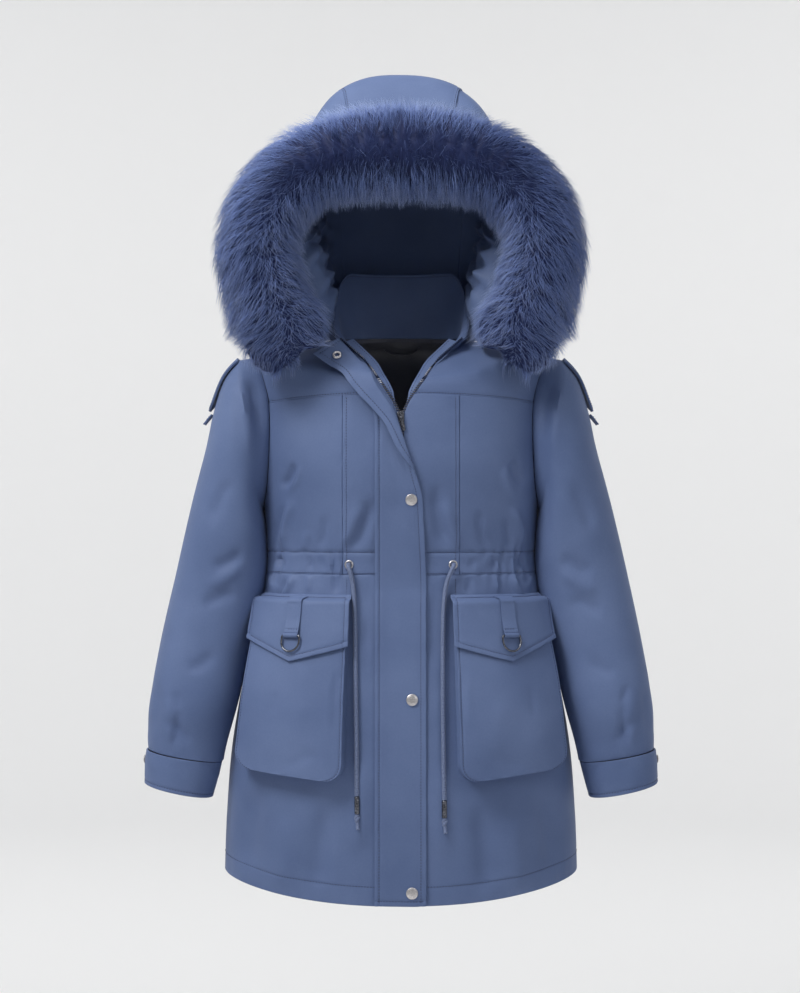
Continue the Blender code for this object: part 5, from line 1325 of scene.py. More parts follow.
def makeFlap():
    tree = bodyTree()
    coarse = np.array([flapRow(level, tree) for level in flapLevels])
    last = len(flapLevels) - 1

    def pointAt(u, v):
        u, v = np.broadcast_arrays(u, v)
        across = row(coarse.transpose(1, 0, 2).reshape(11, -1), v * 10)
        across = across.reshape(v.shape + (last + 1, 3))
        at = u * last
        low = np.minimum(at.astype(int), last - 1)
        near = [np.clip(low + k, 0, last)[..., None, None] for k in (-1, 0, 1, 2)]
        near = [np.take_along_axis(across, level, -2)[..., 0, :] for level in near]
        return curve(*near, (at - low)[..., None])

    top, bottom, left, right = (flapShape[edge] for edge in ("top", "bottom", "left", "right"))
    u, v, base = fineGrid(pointAt, flapShape["step"], (top, -bottom), (left, -right))
    seams = sewn(base, 1.0, 0.0003, top=(top,), bottom=(bottom,), left=(left,), right=(right,))
    x, z = base[..., 0], base[..., 2]
    seams = seams + 0.0004 * bump(lengths(base)[1] - 0.003, 0.0022)   # the seam's turnings lift a low ridge
    folds = creased(x, z, flapFolds) + 0.0004 * swell(x * 20, z * 15, 2)
    clothPiece("storm_flap", base, insideBody, shellLook, seams, folds, flapShape["wall"])
    stitchEdges("storm_flap", left=left, right=right)
    stitchEdges("storm_flap", inner=True, right=right, top=top)
    stitchEdges("storm_flap", bottom=bottom)
    return base, gridNormals(base, insideBody), pointAt


flapGrid, flapNormals, flapAt = makeFlap()
print("storm flap made")


pocket = {"topZ": -0.366, "topInner": 0.0685, "topOuter": 0.183, "baseInner": 0.0745, "baseOuter": 0.206,
          "baseInnerZ": -0.596, "baseOuterZ": -0.583, "round": 0.16, "standTop": 0.015, "stand": 0.025,
          "wall": 0.0018, "flapTop": 1.06, "flapInner": 0.76, "flapTip": 0.655, "flapOuter": 0.765,
          "tipAcross": 0.56, "over": 0.0026, "stitch": 0.0035, "flapStitch": 0.0065, "tipStitch": 0.007}
tab = {"across": 0.55, "half": 0.0105, "topHalf": 0.0132, "wall": 0.0012, "end": 0.805,
       "climb": ((0.9, 0.0012), (0.985, 0.0012), (1.008, 0.0018), (1.025, 0.003), (1.043, 0.0028))}
ring = {"wire": 0.0013, "half": 0.0132, "drop": 0.0212, "clear": 0.0007, "corner": 0.003, "touch": 0.0004}
bagFolds = {  # across and up on the bag
    -1.0: [(8, 150, 7.5, 60, 4, 4.5, -1.6), (13.5, 150, 14.5, 75, 3, 5, 1),
           (98, 118, 101, 85, -2, 6, -1.1), (30, 38, 75, 18, 4, 7, -1.2),
           (55, 110, 60, 45, 5, 16, 1.4)],
    1.0: [(8.5, 148, 8, 65, -4, 4.5, -1.5), (15, 146, 16, 80, -3, 5, 0.9),
          (100, 122, 104, 80, 2, 6, -1.2), (40, 40, 85, 22, -4, 7, -1.1),
          (60, 108, 52, 40, -5, 16, 1.3)],
}


def bagPoint(across, up, stand):
    baseZ = mix(pocket["baseInnerZ"], pocket["baseOuterZ"], across)
    inner = mix(pocket["baseInner"], pocket["topInner"], up)
    outer = mix(pocket["baseOuter"], pocket["topOuter"], up)
    return onFront(mix(inner, outer, across), mix(baseZ, pocket["topZ"], up), stand)


def bagStand(up):
    return mix(pocket["stand"], pocket["standTop"], smooth((up - 0.35) / 0.65))


def cornerInset(up):
    share = np.clip(1 - up / (pocket["round"] * 0.6), 0, 1)
    return pocket["round"] * (1 - np.sqrt(1 - share ** 2))


def flapStand(up):
    over = bagStand(np.minimum(up, 1.0)) + pocket["over"] + flapShape["wall"]
    return mix(over, flapShape["wall"] + 0.0011, smooth((up - 1.006) / 0.054))


def makeBag(tail, side):
    line = pocket["stitch"]

    def pointAt(u, v):
        up = 1 - u
        inset = cornerInset(up)
        return mirroredX(bagPoint(mix(inset, 1 - inset, v), up, bagStand(up)), side)

    u, v, base = fineGrid(pointAt, 0.004, over=(line,))
    x, y = lengths(base)[1], base[..., 2] - pocket["baseInnerZ"]
    crown = 0.0016 * within(v, 0.25, 0.25) * within(u, 0.5, 0.2)
    folds = creased(x, y, bagFolds[side]) + crown + 0.0006 * swell(x * 40, y * 30, side + 5)
    seams = sewn(base, 11 + side, top=None, left=(line,), right=(line,))
    clothPiece("pocket_bag" + tail, base, (side * 0.13, 0.0, -0.48), shellLook, seams, folds, pocket["wall"])
    stitchEdges("pocket_bag" + tail, left=line, right=line)


def makeGusset(tail, side):
    arc = np.linspace(0, 1, 17)
    rise = [(0.0, up) for up in np.linspace(0.12, 1.0, 40)]
    corner = [(float(cornerInset(up)), up) for up in pocket["round"] * 0.6 * (1 - np.cos(arc * np.pi / 2))]
    left = corner + rise
    level = [(a, 0.0) for a in np.linspace(pocket["round"], 1 - pocket["round"], 26)[1:-1]]
    outline = np.array(left[::-1] + level + [(1 - a, b) for a, b in left])
    across, up = outline[:, 0], outline[:, 1]
    share = np.linspace(0, 1, 9)[:, None]
    high = bagStand(up) - pocket["wall"] - 0.0007
    lift = mix(0.0011, high, share)
    point = bagPoint(across + 0 * share, up + 0 * share, lift)
    middle = bagPoint(0.5 + 0 * lift, np.clip(up, 0.12, 1.0) + 0 * share, lift)
    toward = unit(middle - point)
    bulge = np.sin(np.pi * share)
    pleat = 0.003 * bulge + 0.0005 * ripple(runAlong(point[-1]), side + 2) * bulge
    outer = mirroredX((point + toward * pleat[..., None])[::-1], side)
    inner = mirroredX((point + toward * (pleat + pocket["wall"])[..., None])[::-1], side)
    cutCloth(placed("pocket_gusset_cloth" + tail, wallMesh("pocket_gusset", outer, inner), shellLook,
                    "pocket_gusset" + tail), outer)


def makePocketFlap(tail, side):
    tip, line, low = pocket["tipAcross"], pocket["flapStitch"], pocket["tipStitch"]

    def pointAt(u, v):
        free = np.where(v <= tip, mix(pocket["flapInner"], pocket["flapTip"], v / tip),
                        mix(pocket["flapTip"], pocket["flapOuter"], (v - tip) / (1 - tip)))
        up = mix(pocket["flapTop"], free, u)
        return mirroredX(bagPoint(mix(-0.03, 1.02, v), up, flapStand(up)), side)

    u, v, base = fineGrid(pointAt, 0.0038, (low, -low), (line, -line))
    seams = sewn(base, 15 + side, 0.0004, top=(0.0068,), bottom=(low,), left=(line,), right=(line,))
    fromTop = lengths(base)[0]
    seams = seams + 0.0009 * bump(fromTop - 0.0034, 0.0028) - 0.0007 * bump(fromTop - 0.0072, 0.0012)
    x, z = base[..., 0], base[..., 2]
    folds = 0.0007 * swell(x * 32, z * 40, side + 6) * smooth(u / 0.3)
    folds = folds + 0.0009 * smooth((u - 0.75) / 0.25) * np.sin(v * 7 + side)
    clothPiece("pocket_flap" + tail, base, (side * 0.12, 0.05, -0.4), shellLook, seams, folds,
               flapShape["wall"])
    stitchEdges("pocket_flap" + tail, 0.0072, top=line, bottom=low, left=line, right=line)


def makeTabAndRing(tail, side):
    def over(across, up, gap):
        across, up = np.asarray(across, float), np.asarray(up, float)
        return bagPoint(across, up, flapStand(up) + gap)

    bore = ring["wire"] + ring["clear"]
    middle, end = tab["across"], tab["end"]
    centre = over(middle, end, ring["touch"] + tab["wall"] + bore)
    outward = unit(bagPoint(middle, end, np.array(0.02)) - bagPoint(middle, end, np.array(0.0)))
    below = over(middle, pocket["flapTip"] + 0.02, 0.0)
    rise = unit(over(middle, end, 0.0) - below)
    outward = unit(outward - rise * (outward @ rise))
    across = unit(np.cross(rise, outward))
    across = across * np.sign(across[0])
    outer = bore + tab["wall"]
    turns = np.radians(np.linspace(-118.0, 150.0, 11))
    section = [centre + outward * outer * math.cos(t) - rise * outer * math.sin(t) for t in turns]
    section[0] = centre + outward * (outer * 0.42) + rise * (outer * 1.35)
    climb = [over(middle, up, gap + tab["wall"]) for up, gap in tab["climb"]]
    section = np.array(climb[::-1] + section)
    fine = evenly(row(section, np.linspace(0, len(section) - 1, 400)), 96)
    share = np.array((-1.0, -0.97, -0.9, -0.8, -0.6, -0.3, 0.0, 0.3, 0.6, 0.8, 0.9, 0.97, 1.0))
    half = mix(tab["topHalf"], tab["half"], smooth(np.linspace(0, 1, 96) / 0.12))
    base = mirroredX(fine[:, None] + across * (half[:, None] * share)[..., None], side)
    inside = (centre + rise * 0.004) * np.array((side, 1, 1))
    seams = -0.0003 * (np.abs(share) > 0.95) - 0.0003 * bump(np.abs(share) - 0.8, 0.05) + 0 * half[:, None]
    stitchedAcross = fine[:, 2] - (centre[2] + outer * 2.6)
    seams = seams - 0.0005 * bump(stitchedAcross, 0.0008)[:, None]
    clothPiece("pocket_tab" + tail, base, inside, shellLook, seams, 0.0, tab["wall"],
               innerSwell=0 * seams)
    outside, normals, _ = sewnLines["pocket_tab" + tail]
    level = int(np.argmin(np.abs(stitchedAcross[:70])))
    stitch(outside[level], normals[level], 0.001)
    makeRing(tail, side, centre, across, -outward, rise)


def makeRing(tail, side, centre, xAxis, yAxis, zAxis):
    corner, half, drop = ring["corner"], ring["half"], ring["drop"]
    t = np.linspace(0, np.pi / 2, 9)
    start = np.stack([-half + corner * (1 - np.sin(t)), 0 * t, -corner * (1 - np.cos(t))], -1)
    a = np.linspace(0, np.pi, 33)[1:-1]
    arc = np.stack([-half * np.cos(a), 0 * a, -(drop - half) - half * np.sin(a)], -1)
    leg = np.stack([np.full(4, -half), np.zeros(4), np.linspace(-corner, -(drop - half), 6)[1:-1]], -1)
    flip = np.array((-1, 1, 1))
    bar = np.stack([np.linspace(half - corner, -half + corner, 12)[1:-1], np.zeros(10), np.zeros(10)], -1)
    path = np.concatenate([start, leg, arc, (leg * flip)[::-1], (start * flip)[::-1], bar])
    world = mirroredX(centre + path[:, :1] * xAxis + path[:, 1:2] * yAxis + path[:, 2:] * zAxis, side)
    placed("pocket_ring" + tail, loopMesh("pocket_ring", world, ring["wire"], 16), gunmetalLook,
           "d_ring" + tail, body="d_ring" + tail)


def loopMesh(name, path, radius, sides):  # a closed ring of wire
    count = len(path)
    tangents = unit(np.roll(path, -1, 0) - np.roll(path, 1, 0))
    flat = unit(np.cross(path[2] - path[0], path[count // 2] - path[0]))
    other = np.cross(tangents, flat)
    turns = turnsOf(sides)
    points = (path[:, None] + radius * (np.cos(turns)[None, :, None] * flat
                                        + np.sin(turns)[None, :, None] * other[:, None])).reshape(-1, 3)
    return meshOf(name, points, ringFaces(count, sides, True))


for tail, side in sides:
    makeBag(tail, side)
    makeGusset(tail, side)
    makePocketFlap(tail, side)
    makeTabAndRing(tail, side)
print("pockets made")


strapRows = ((0.02, 0.34, 0.0042), (0.5, 0.32, 0.0052), (1.1, 0.3, 0.0055), (1.6, 0.28, 0.006),
             (1.85, 0.22, 0.0068), (2.02, 0.06, 0.0075))      # place on the sleeve, half width, lift
strapTabRows = ((2.08, 0.15, 0.0026), (2.22, 0.15, 0.006), (2.4, 0.15, 0.0105))
strapWalls = {"strap": 0.003, "tab": 0.0022, "stitch": 0.004}


def strapPoint(place, turn, lift):
    section, after = row(sleeveRows, place), row(sleeveRows, place + 0.1)
    away = unit(vec(section[..., 3] - after[..., 3], 0 * place, after[..., 2] - section[..., 2]))
    return roundSleeve(section, turn) + away * lift[..., None]


def makeStrap(name, tail, side, table, wall):
    line = strapWalls["stitch"]

    def pointAt(u, v):
        u, v = paired(u, v)
        place, half, lift = np.moveaxis(row(table, u * (len(table) - 1)), -1, 0)
        return mirroredX(strapPoint(place, mix(-half, half, v), lift), side)

    u, v, base = fineGrid(pointAt, 0.0034, over=(line,))
    seams = 0.6 * sewn(base, 3 + side, 0.0002, bottom=(line,), left=(line,), right=(line,))
    clothPiece(name + tail, base, (side * 0.2, -0.02, -0.15), shellLook, seams, 0.0, wall)
    stitchEdges(name + tail, left=line, right=line)


def makeStraps():
    for tail, side in sides:
        makeStrap("sleeve_strap", tail, side, strapRows, strapWalls["strap"])
        makeStrap("strap_tab", tail, side, strapTabRows, strapWalls["tab"])


makeStraps()
print("sleeve straps made")


zipShape = {"reach": 0.0031, "wall": 0.0012, "touch": 0.0004, "under": 0.0006, "pitch": 0.0033,
            "tooth": (0.0046, 0.0024, 0.0016)}
slider = {"z": -0.108, "turn": math.radians(12.0), "pinY": -0.0057, "pinZ": -0.002}


def zipRows(side):
    places = np.concatenate([np.linspace(0, 8, 90), np.linspace(8.05, 12, 70)])
    low, high = collarEdges(np.array(0.0))
    climb = unit(high - low)
    ahead = low - collarEdges(np.array(0.02))[0]
    ahead = unit(ahead - climb * (ahead @ climb))
    out = unit(np.cross(climb, ahead))
    out = out * -np.sign(out[1])
    touch, reach, under = zipShape["touch"], zipShape["reach"], zipShape["under"]
    gap = mix(touch, 3 * touch, smooth((places - 11) / 0.8))
    shares = (1.0, 0.72, 0.45, 0.2, 0.0)
    columns = [edgeAngle(places, -(mix(gap, reach + gap - touch, f))) for f in shares]
    normal = np.stack([bodyNormal(places, c) for c in columns], 1)
    face = np.stack([bodyPoint(places, c) for c in columns], 1) - normal * under
    back = face - normal * zipShape["wall"]
    edge = low + (high - low) * np.linspace(0.12, 0.98, 24)[:, None, None]
    top = edge + ahead * mix(2 * touch, reach + touch, np.array(shares))[None, :, None] - out * under
    outer = np.concatenate([face, top])
    inner = np.concatenate([back, top - out * zipShape["wall"]])
    normals = np.concatenate([normal, np.broadcast_to(out, top.shape)])
    return mirroredX(outer, side), mirroredX(inner, side), mirroredX(normals, side)


def makeZip():
    for tail, side in sides:
        outer, inner, normals = zipRows(side)
        placed("zip_tape_woven" + tail, wallMesh("zip_tape", outer[::-1], inner[::-1]), tapeLook,
               "zip_tape" + tail)
        makeTeeth(tail, side, outer, inner, normals)


def makeTeeth(tail, side, outer, inner, normals):
    line = (outer[:, 1] + inner[:, 1]) / 2
    across = unit(outer[:, 0] - outer[:, -1])
    run = runAlong(line)
    at = np.arange(0.004, run[-1] - 0.002, zipShape["pitch"]) + (zipShape["pitch"] / 2 if side > 0 else 0)
    middle = sampled(line, run, at)
    x, z = unit(sampled(across, run, at)), unit(sampled(normals[:, 1], run, at))
    y = np.cross(z, x)
    long, tall, thick = zipShape["tooth"]
    parts = []
    for f, grow in ((-0.5, 0.8), (0.1, 1.0), (0.42, 0.72), (0.5, 0.3)):     # to the rounded head
        for sy, sz in ((-1, -1), (1, -1), (1, 1), (-1, 1)):
            parts.append(middle + x * long * f + y * sy * thick / 2 * grow + z * sz * tall / 2 * grow)
    faces = [(3, 2, 1, 0), (12, 13, 14, 15)] + ringFaces(4, 4)
    points = np.stack(parts, 1).reshape(-1, 3)
    mesh = meshOf("zip_teeth", points, repeatedFaces(faces, 16, len(at)), sharp=40.0)
    placed("zip_teeth" + tail, mesh, gunmetalLook)


def plateMesh(name, outline, thickness, bevel, frameMatrix, y=0.0):  # a flat piece with soft edges
    outline = np.asarray(outline, float)
    centre = outline.mean(0)
    size = np.linalg.norm(outline - centre, axis=1, keepdims=True)
    inset = centre + (outline - centre) * (1 - bevel / np.maximum(size, bevel * 2))
    mid = centre + (outline - centre) * (1 - 0.3 * bevel / np.maximum(size, bevel * 2))
    half = 0.5 * thickness
    rings = [(inset, -half), (mid, -half + 0.3 * bevel), (outline, -half + bevel),
             (outline, half - bevel), (mid, half - 0.3 * bevel), (inset, half)]
    points = np.concatenate([vec(r[:, 0], y + h, r[:, 1]) for r, h in rings])
    points = np.array([frameMatrix @ Vector(p) for p in points])
    return meshOf(name, points, solidFaces(len(rings), len(outline)), sharp=50.0)


def joined(meshes):
    points, faces = [], []
    for mesh in meshes:
        start = len(points)
        points += [v.co[:] for v in mesh.vertices]
        faces += [[start + i for i in polygon.vertices] for polygon in mesh.polygons]
    return meshOf(meshes[0].name, np.array(points), faces, sharp=50.0)


def rounded(halfWidthAt, zs):  # an outline that is the same on both sides
    right = list(zip(halfWidthAt, zs))
    return right + [(-w, z) for w, z in reversed(right)]


def makeSlider():
    seat = onFront(0.0, slider["z"] - 0.008, 0.0)
    place = Matrix.Translation(seat) @ Matrix.Rotation(-slider["turn"], 4, "Y")
    outline = rounded((0.003, 0.0041, 0.0045, 0.0045, 0.0038, 0.0032, 0.0031, 0.0026),
                      (0.0066, 0.0062, 0.0052, 0.002, -0.0012, -0.004, -0.006, -0.0066))
    top = plateMesh("zip_slider", outline, 0.0012, 0.0004, place, -0.0028)
    bottom = plateMesh("zip_slider", outline, 0.0011, 0.0004, place, -0.0013)
    bridge = [plateMesh("bridge", rounded((0.0006, 0.0011, 0.0011, 0.0006), (0.004, 0.003, -0.0044, -0.0052)),
                        0.001, 0.0003, place, -0.0038)]
    for side in (-1.0, 1.0):
        lug = np.array(rounded((0.0005, 0.0005), (-0.0003, -0.0037))) + np.array((side * 0.0022, 0.0))
        bridge.append(plateMesh("lug", lug, 0.004, 0.0002, place, slider["pinY"] + 0.001))
    pinStart = place @ Vector((-0.0027, slider["pinY"], slider["pinZ"]))
    pinAxis = place.to_3x3() @ Vector((1, 0, 0))
    pin = [(0.0004, 0), (0.0006, 0.0002), (0.0006, 0.0052), (0.0004, 0.0054)]
    pin = turnedMesh("pin", pin, pinStart, pinAxis, 16)
    placed("zip_slider_body", joined([top, bottom, pin] + bridge), gunmetalLook, "zip_slider")

    hinge = place @ Matrix.Translation((0.0, slider["pinY"], slider["pinZ"]))
    eye = [(0.0011, 0.001), (0.0013, 0.0011), (0.0018, 0.0011), (0.0019, 0.0009), (0.0019, -0.0009),
           (0.0018, -0.0011), (0.0013, -0.0011), (0.0011, -0.001)]
    eye = turnedMesh("zip_pull", eye, hinge.translation, pinAxis, 24, loop=True)
    blade = rounded((0.0009, 0.0013, 0.0014, 0.0017, 0.0021, 0.0021, 0.0018, 0.001),
                    (-0.0016, -0.0022, -0.0046, -0.0064, -0.0082, -0.016, -0.0173, -0.0177))
    blade = plateMesh("blade", blade, 0.0009, 0.0003, hinge, -0.0002)
    boss = plateMesh("boss", rounded((0.0008, 0.0012, 0.0012, 0.0008), (-0.0092, -0.0098, -0.0148, -0.0156)),
                     0.0004, 0.00015, hinge, -0.0008)
    placed("zip_pull_tab", joined([eye, blade, boss]), gunmetalLook, "zip_pull", body="zip_pull")


makeZip()
makeSlider()
print("zip made")


snapPlaces = ((0.0135, -0.2262), (0.0145, -0.4889), (0.0143, -0.74))
snap = {"radius": 0.0078, "height": 0.0026, "cuffRadius": 0.0055, "cuffHeight": 0.0022, "touch": 0.0004}
socket = {"radius": 0.0062, "bore": 0.0028, "height": 0.002}
eyelet = {"radius": 0.0062, "bore": 0.0034, "height": 0.0018}


def domeProfile(r, h):  # a press stud's cap, with its turned rim
    return [(0, 0), (r * 0.94, 0), (r, h * 0.16), (r, h * 0.34), (r * 0.965, h * 0.5), (r * 0.9, h * 0.58),
            (r * 0.84, h * 0.62), (r * 0.72, h * 0.78), (r * 0.55, h * 0.9), (r * 0.35, h * 0.97), (0, h)]


def washerProfile(radius, bore, height):
    middle = (radius + bore) / 2
    return [(bore, 0), (bore, height * 0.45), (mix(bore, middle, 0.35), height * 0.85), (middle, height),
            (mix(middle, radius, 0.6), height * 0.8), (radius, height * 0.35), (radius, 0)]


def makeMetal():
    for number, (x, z) in enumerate(snapPlaces, 1):
        away = (flapGrid[..., 0] - x) ** 2 + (flapGrid[..., 2] - z) ** 2
        away = away + (lengths(flapGrid)[0] < 0.15)
        i, j = np.unravel_index(np.argmin(away), away.shape)
        point, normal = flapGrid[i, j], flapNormals[i, j]
        point = point + normal * snap["touch"] + np.array((x - point[0], 0.0, z - point[2]))
        cap = turnedMesh("press_stud", domeProfile(snap["radius"], snap["height"]), point, normal)
        placed(f"press_stud_{number}", cap, nickelLook, f"snap_{number}")
    corners = ((0.5, 7), (0.5, 9), (1.5, 7), (1.5, 9))
    a, b, c, d = (flapAt(np.array(u / 23), np.array(v / 10)) for u, v in corners)
    normal = unit(np.cross(b - a, c - a))
    normal = normal * -np.sign(normal[1])
    point = (a + b + c + d) / 4 + normal * (flapShape["wall"] + 0.001)
    rim = turnedMesh("socket", washerProfile(**socket), point, normal, loop=True)
    placed("press_stud_socket", rim, nickelLook, "snap_socket")
    for tail, side in sides:
        x, z = side * eyeletPlace[0], eyeletPlace[1]
        rim = turnedMesh("eyelet", washerProfile(**eyelet), onFront(x, z, snap["touch"]), frontNormal(x, z),
                         loop=True)
        placed("eyelet_rim" + tail, rim, nickelLook, "eyelet" + tail)
        point = roundSleeve(straightRow(cuffRows, 0.9), np.array(0.0)) + np.array((snap["touch"], 0, 0))
        cap = turnedMesh("cuff_stud", domeProfile(snap["cuffRadius"], snap["cuffHeight"]),
                         point * np.array((side, 1, 1)), (side, 0, 0.02))
        placed("cuff_stud" + tail, cap, nickelLook, "cuff_snap" + tail)


makeMetal()
print("metal made")


facing = {"wall": 0.0014, "depth": 0.0048, "slope": 0.3, "zs": (-0.106, -0.0977, -0.0724, -0.0418, -0.0098),
          "widths": (0.0012, 0.005, 0.013, 0.0185, 0.022)}


def eased(values):  # the same values, changing slowly from one to the next
    padded = np.concatenate([np.repeat(values[:1], 9, 0), values, np.repeat(values[-1:], 9, 0)])
    return np.stack([np.convolve(column, np.ones(19) / 19, "valid") for column in padded.T], -1)


def makeFacings():  # the shell cloth turned in behind the teeth
    place = np.linspace(neckRow, 8.7, 48)
    low, high = collarEdges(np.array(0.0))
    edge = np.concatenate([low + (high - low) * np.linspace(0.94, 0.12, 14)[:, None],
                           bodyPoint(place, edgeAngle(place))])
    normal = bodyNormal(place, edgeAngle(place))
    normal = np.concatenate([np.repeat(normal[:1], 14, 0), normal])
    run = runAlong(edge)
    edge, normal = (sampled(values, run, np.linspace(0, run[-1], 64)) for values in (edge, normal))
    normal = unit(eased(normal))
    across = np.cross(normal, np.gradient(edge, axis=0))
    across = unit(eased(across * -np.sign(across[:, :1])))
    width = eased(np.interp(edge[:, 2], facing["zs"], facing["widths"])[:, None])
    width[-12:] = width[-12:] * np.linspace(1.0, 0.35, 12)[:, None]
    v = np.linspace(0, 1, 9)
    reach, behind = 0.0004 + width * v, facing["depth"] + facing["slope"] * width * v
    behind = behind - 0.0006 * swell(edge[:, 2:] * 60, v * 4, 2)
    base = edge[:, None] + across[:, None] * reach[..., None] - normal[:, None] * behind[..., None]
    normals = np.broadcast_to(normal[:, None], base.shape)
    for tail, side in sides:
        outer, inner = mirroredX(base, side), mirroredX(base - normals * facing["wall"], side)
        mesh = wallMesh("neck_facing", outer, inner)
        cutCloth(placed("neck_facing" + tail, mesh, shellLook), outer)
        sewnLines["neck_facing" + tail] = (outer, mirroredX(normals, side), inner)
        stitchEdges("neck_facing" + tail, right=0.003)


neckLining = {"wall": 0.0012, "gap": 0.0018, "fromAngle": 104.0, "toAngle": 256.0, "top": 12.35}
loop = {"radius": 0.0012, "row": 11.55, "drop": 0.55, "angle": math.radians(12.0), "bulge": 0.003}


def makeNeckLining():
    depth = 0.0025 + neckLining["gap"]

    def pointAt(u, v):
        place = mix(neckLining["top"], 8.0, u)
        angle = np.radians(mix(neckLining["fromAngle"], neckLining["toAngle"], v))
        place, angle = np.broadcast_arrays(place, angle)
        above = 0.014 * np.maximum(place - neckRow, 0)
        return bodyPoint(place, angle) - bodyNormal(place, angle) * depth + vec(0, 0, above)

    u, v, base = fineGrid(pointAt, 0.0058)
    x, z = base[..., 0], base[..., 2]
    sag = smooth((u - 0.08) / 0.1) * smooth((1 - u) / 0.15)
    pleat = 0.0034 * np.exp(-(np.abs(x - 0.0015) / 0.0022)) + 0.0016 * bump(np.abs(x) - 0.0085, 0.004)
    folds = -sag * (pleat + 0.0014 * (1 + swell(x * 34, z * 22, 4)))
    clothPiece("lining_back", base, (0, 0, -0.2), liningLook, 0 * u, folds, neckLining["wall"])
    t = np.linspace(0, 1, 60)
    hang = np.sin(np.pi * t)
    off = depth + neckLining["wall"] + loop["radius"] + 0.0004 + loop["bulge"] * hang
    place = loop["row"] - loop["drop"] * hang
    angle = mix(backAngle - loop["angle"], backAngle + loop["angle"], t)
    path = bodyPoint(place, angle) - bodyNormal(place, angle) * off[:, None]
    def twist(turn, run):
        return 0.00012 * np.cos(2 * turn + run / 0.0013)

    placed("hanging_loop", tubeMesh("hanging_loop", path, loop["radius"], 10, twist), liningLook,
           "hanger_loop")


makeFacings()
makeNeckLining()
makeStitches()
print("lining and stitches made")


furShape = {"strands": 38500, "locks": 5200, "pieces": 4, "root": 0.46, "underfur": 0.72, "thick": 0.0003,
            "reach": (0.84, 1.06), "gather": 0.24, "lean": math.radians(54.0), "sideLean": 0.62,
            "sweep": 0.46, "seed": 5}


def makeUnderfur():  # the dense short hair that the guard hairs stand out of
    last = len(furRows) - 1
    places = np.concatenate([[0.0, 0.03, 0.08, 0.15, 0.25], np.linspace(0.4, last, 120)])
    turns = np.linspace(0, 2 * np.pi, 49)
    place, turn = np.meshgrid(places, turns, indexing="ij")
    rough = 0.05 * np.sin(place * 31 + 3 * np.sin(turn * 5)) * np.sin(turn * 11 + place * 9)
    reach = furShape["underfur"] + rough
    joinAt = furFrame(place)[4]     # it is full where it is sewn to the hood
    reach = mix(reach, 0.965, np.exp(-((turn - joinAt) / mix(0.95, 0.5, smooth((place - 1) / 2))) ** 2))
    reach = reach * smooth(place / 0.25 + 0.25)
    half, middle = furPoint(place, turn), furFrame(place)[0]
    half = middle + (half - middle) * reach[..., None]
    grid = np.concatenate([half, (half * np.array((-1, 1, 1)))[::-1][1:]])
    rows, cols = grid.shape[0], grid.shape[1] - 1
    grid = grid[:, :cols]
    points = np.concatenate([grid.reshape(-1, 3), grid[:1].mean(1), grid[-1:].mean(1)])
    count = rows * cols
    faces = ringFaces(rows, cols)
    faces += [[count, (j + 1) % cols, j] for j in range(cols)]
    faces += [[count + 1, count - cols + j, count - cols + (j + 1) % cols] for j in range(cols)]
    # a low, fixed second UV value keeps the underfur in the dark end of its ramp: painted shade
    shade = np.random.default_rng(furShape["seed"]).random(len(points))
    uvs = np.stack([shade, np.full(len(points), 0.25)], -1)
    placed("fur_underhair", meshOf("fur_underhair", points, faces, uvs), underfurShadeLook, "fur_trim")


def atSides(place):  # 1 down the sides of the hood, 0 over its crown
    return smooth((6.6 - place) / 3.0)


def leaning(place, turn, scatter=0.0):  # how far the hairs lean away from the parting
    side = atSides(place)
    lean = furShape["lean"] * np.clip(-np.sin(turn), 0, 1) ** 0.7 * mix(1.0, furShape["sideLean"], side)
    return lean * np.tanh((np.cos(turn) + 0.42 * side) / 0.42 + scatter)


def wrapped(angle):
    return (angle + np.pi) % (2 * np.pi) - np.pi


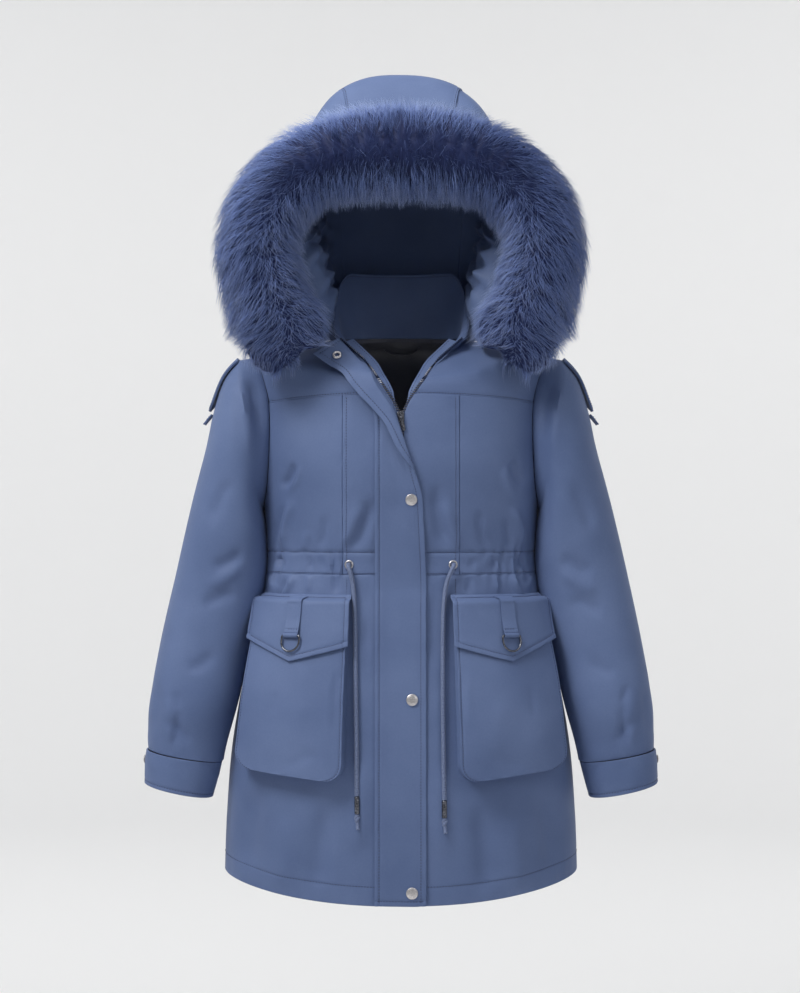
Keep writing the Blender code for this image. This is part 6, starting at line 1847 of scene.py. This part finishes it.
def makeHairs():
    rng = np.random.default_rng(furShape["seed"])
    count, last = furShape["strands"], len(furRows) - 1
    dense = np.linspace(0, last, 400)
    middle, _, radial, depth, _ = furFrame(dense)
    run = runAlong(middle)
    weight = np.concatenate([[0], (np.diff(run) * (radial + depth)[1:]).cumsum()])

    def scattered(number):
        place = np.interp(rng.random(number) * weight[-1], weight, dense)
        turn = rng.random(number) * 2 * np.pi
        return place, turn, np.where(rng.random(number) < 0.5, -1.0, 1.0)

    lockPlace, lockTurn, _ = scattered(furShape["locks"])
    lockReach = mix(furShape["reach"][0], furShape["reach"][1], rng.random(furShape["locks"]))
    lockSlant = rng.normal(0, 0.1, furShape["locks"])
    lockShade = rng.random(furShape["locks"])
    place, turn, side = scattered(count)
    nearest = np.zeros(count, int)
    for start in range(0, count, 2000):
        part = slice(start, start + 2000)
        away = ((place[part, None] - lockPlace) * 0.9) ** 2 + wrapped(turn[part, None] - lockTurn) ** 2
        nearest[part] = np.argmin(away, 1)
    lean = leaning(place, turn, mix(0.5, 0.9, atSides(place)) * rng.normal(size=count))
    tipTurn = turn + lean + rng.normal(0, 0.12, count)
    joinTurn = lockTurn[nearest] + leaning(lockPlace, lockTurn)[nearest]
    gather = furShape["gather"] * rng.random(count)
    tipTurn = tipTurn + gather * wrapped(joinTurn - tipTurn)
    slant = lockSlant[nearest] + rng.normal(0, 0.05, count)
    tipPlace = place + gather * (lockPlace[nearest] - place) + slant
    tipPlace = tipPlace - furShape["sweep"] * smooth((last - place) / 3.0) * smooth(place / 1.2 + 0.6)
    tipPlace = np.where(tipPlace > last, 2 * last - tipPlace, tipPlace)
    hanging = vec(0, 0, 0.06 * np.minimum(tipPlace, 0))
    tipPlace = np.clip(tipPlace, 0.0, last)
    reach = lockReach[nearest] + rng.normal(0, 0.025, count)
    reach = reach - 0.25 * (rng.random(count) < 0.25) * rng.random(count)
    reach = np.minimum(reach, furShape["reach"][1] + 0.03)
    inward = np.exp(-((turn - np.pi) / 0.75) ** 2) * smooth((3.2 - place) / 1.6)
    reach = reach * (1 + 0.34 * inward)        # the ends fall in over the collar
    root = furPoint(place, turn, reach=furShape["root"])
    tipMiddle = furFrame(tipPlace)[0]
    tip = tipMiddle + (furPoint(tipPlace, tipTurn) - tipMiddle) * reach[:, None] + hanging
    span = np.linalg.norm(tip - root, axis=1)[:, None]
    bend = root + unit(root - furFrame(place)[0]) * span * 0.62
    droop = np.array((0, 0, -1.0)) * span * 0.05
    t = np.array((0.0, 0.56, 1.0))
    line = np.stack([(1 - k) ** 2 * root + 2 * k * (1 - k) * bend + k ** 2 * (tip + droop) for k in t], 1)
    line[:, :, 0] *= side[:, None]
    patch = 0.5 + 0.5 * swell(place * 3.1 * side, turn * 1.6, 4)
    shade = np.clip(0.28 * lockShade[nearest] + 0.42 * rng.random(count) + 0.3 * patch, 0, 1)
    # painted shade: hairs that point at the camera take darker colours, as when one looks down into the
    # shaded depth of the fur
    ahead = np.clip(-np.sin(turn), 0, 1) * np.exp(-(np.cos(turn) / 0.34) ** 2)
    thick = furShape["thick"] * rng.uniform(0.7, 1.25, count)
    paintedShadeFactor = 1 - ahead * mix(0.16, 0.72, smooth((place - 4.4) / 2.2))     # darkest over the crown
    strandMeshes(line, thick, shade * paintedShadeFactor, t, paintedShadeFactor)
def strandMeshes(line, thick, shade, t, paintedShadeFactor):
    count = len(line)
    along = unit(np.gradient(line, axis=1))
    a = unit(np.cross(along, (0.13, 0.31, 0.94)))
    b = np.cross(along, a)
    turns = 2 * np.pi * np.arange(3) / 3
    widths = np.array((1.0, 0.92))
    rings = (line[:, :2, None] + (thick[:, None] * widths)[:, :, None, None]
             * (a[:, :2, None] * np.cos(turns)[:, None] + b[:, :2, None] * np.sin(turns)[:, None]))
    points = np.concatenate([rings.reshape(count, 6, 3), line[:, 2:]], 1)
    faces = [(j, (j + 1) % 3, 3 + (j + 1) % 3, 3 + j) for j in range(3)]
    faces += [(3 + j, 3 + (j + 1) % 3, 6, 6) for j in range(3)]
    tall = np.concatenate([np.repeat(t[:2], 3), [1.0]])
    for number in range(furShape["pieces"]):
        pick = np.arange(number, count, furShape["pieces"])
        # the second UV value carries the painted shade of hairs that point at the camera
        uvs = np.stack([np.repeat(shade[pick], 7), (paintedShadeFactor[pick, None] * tall).ravel()], -1)
        mesh = meshOf("fur_hairs", points[pick].reshape(-1, 3), repeatedFaces(faces, 7, len(pick)), uvs)
        placed(f"fur_hairs_{number + 1}", mesh, hairLook)


makeUnderfur()
makeHairs()
print("fur made")
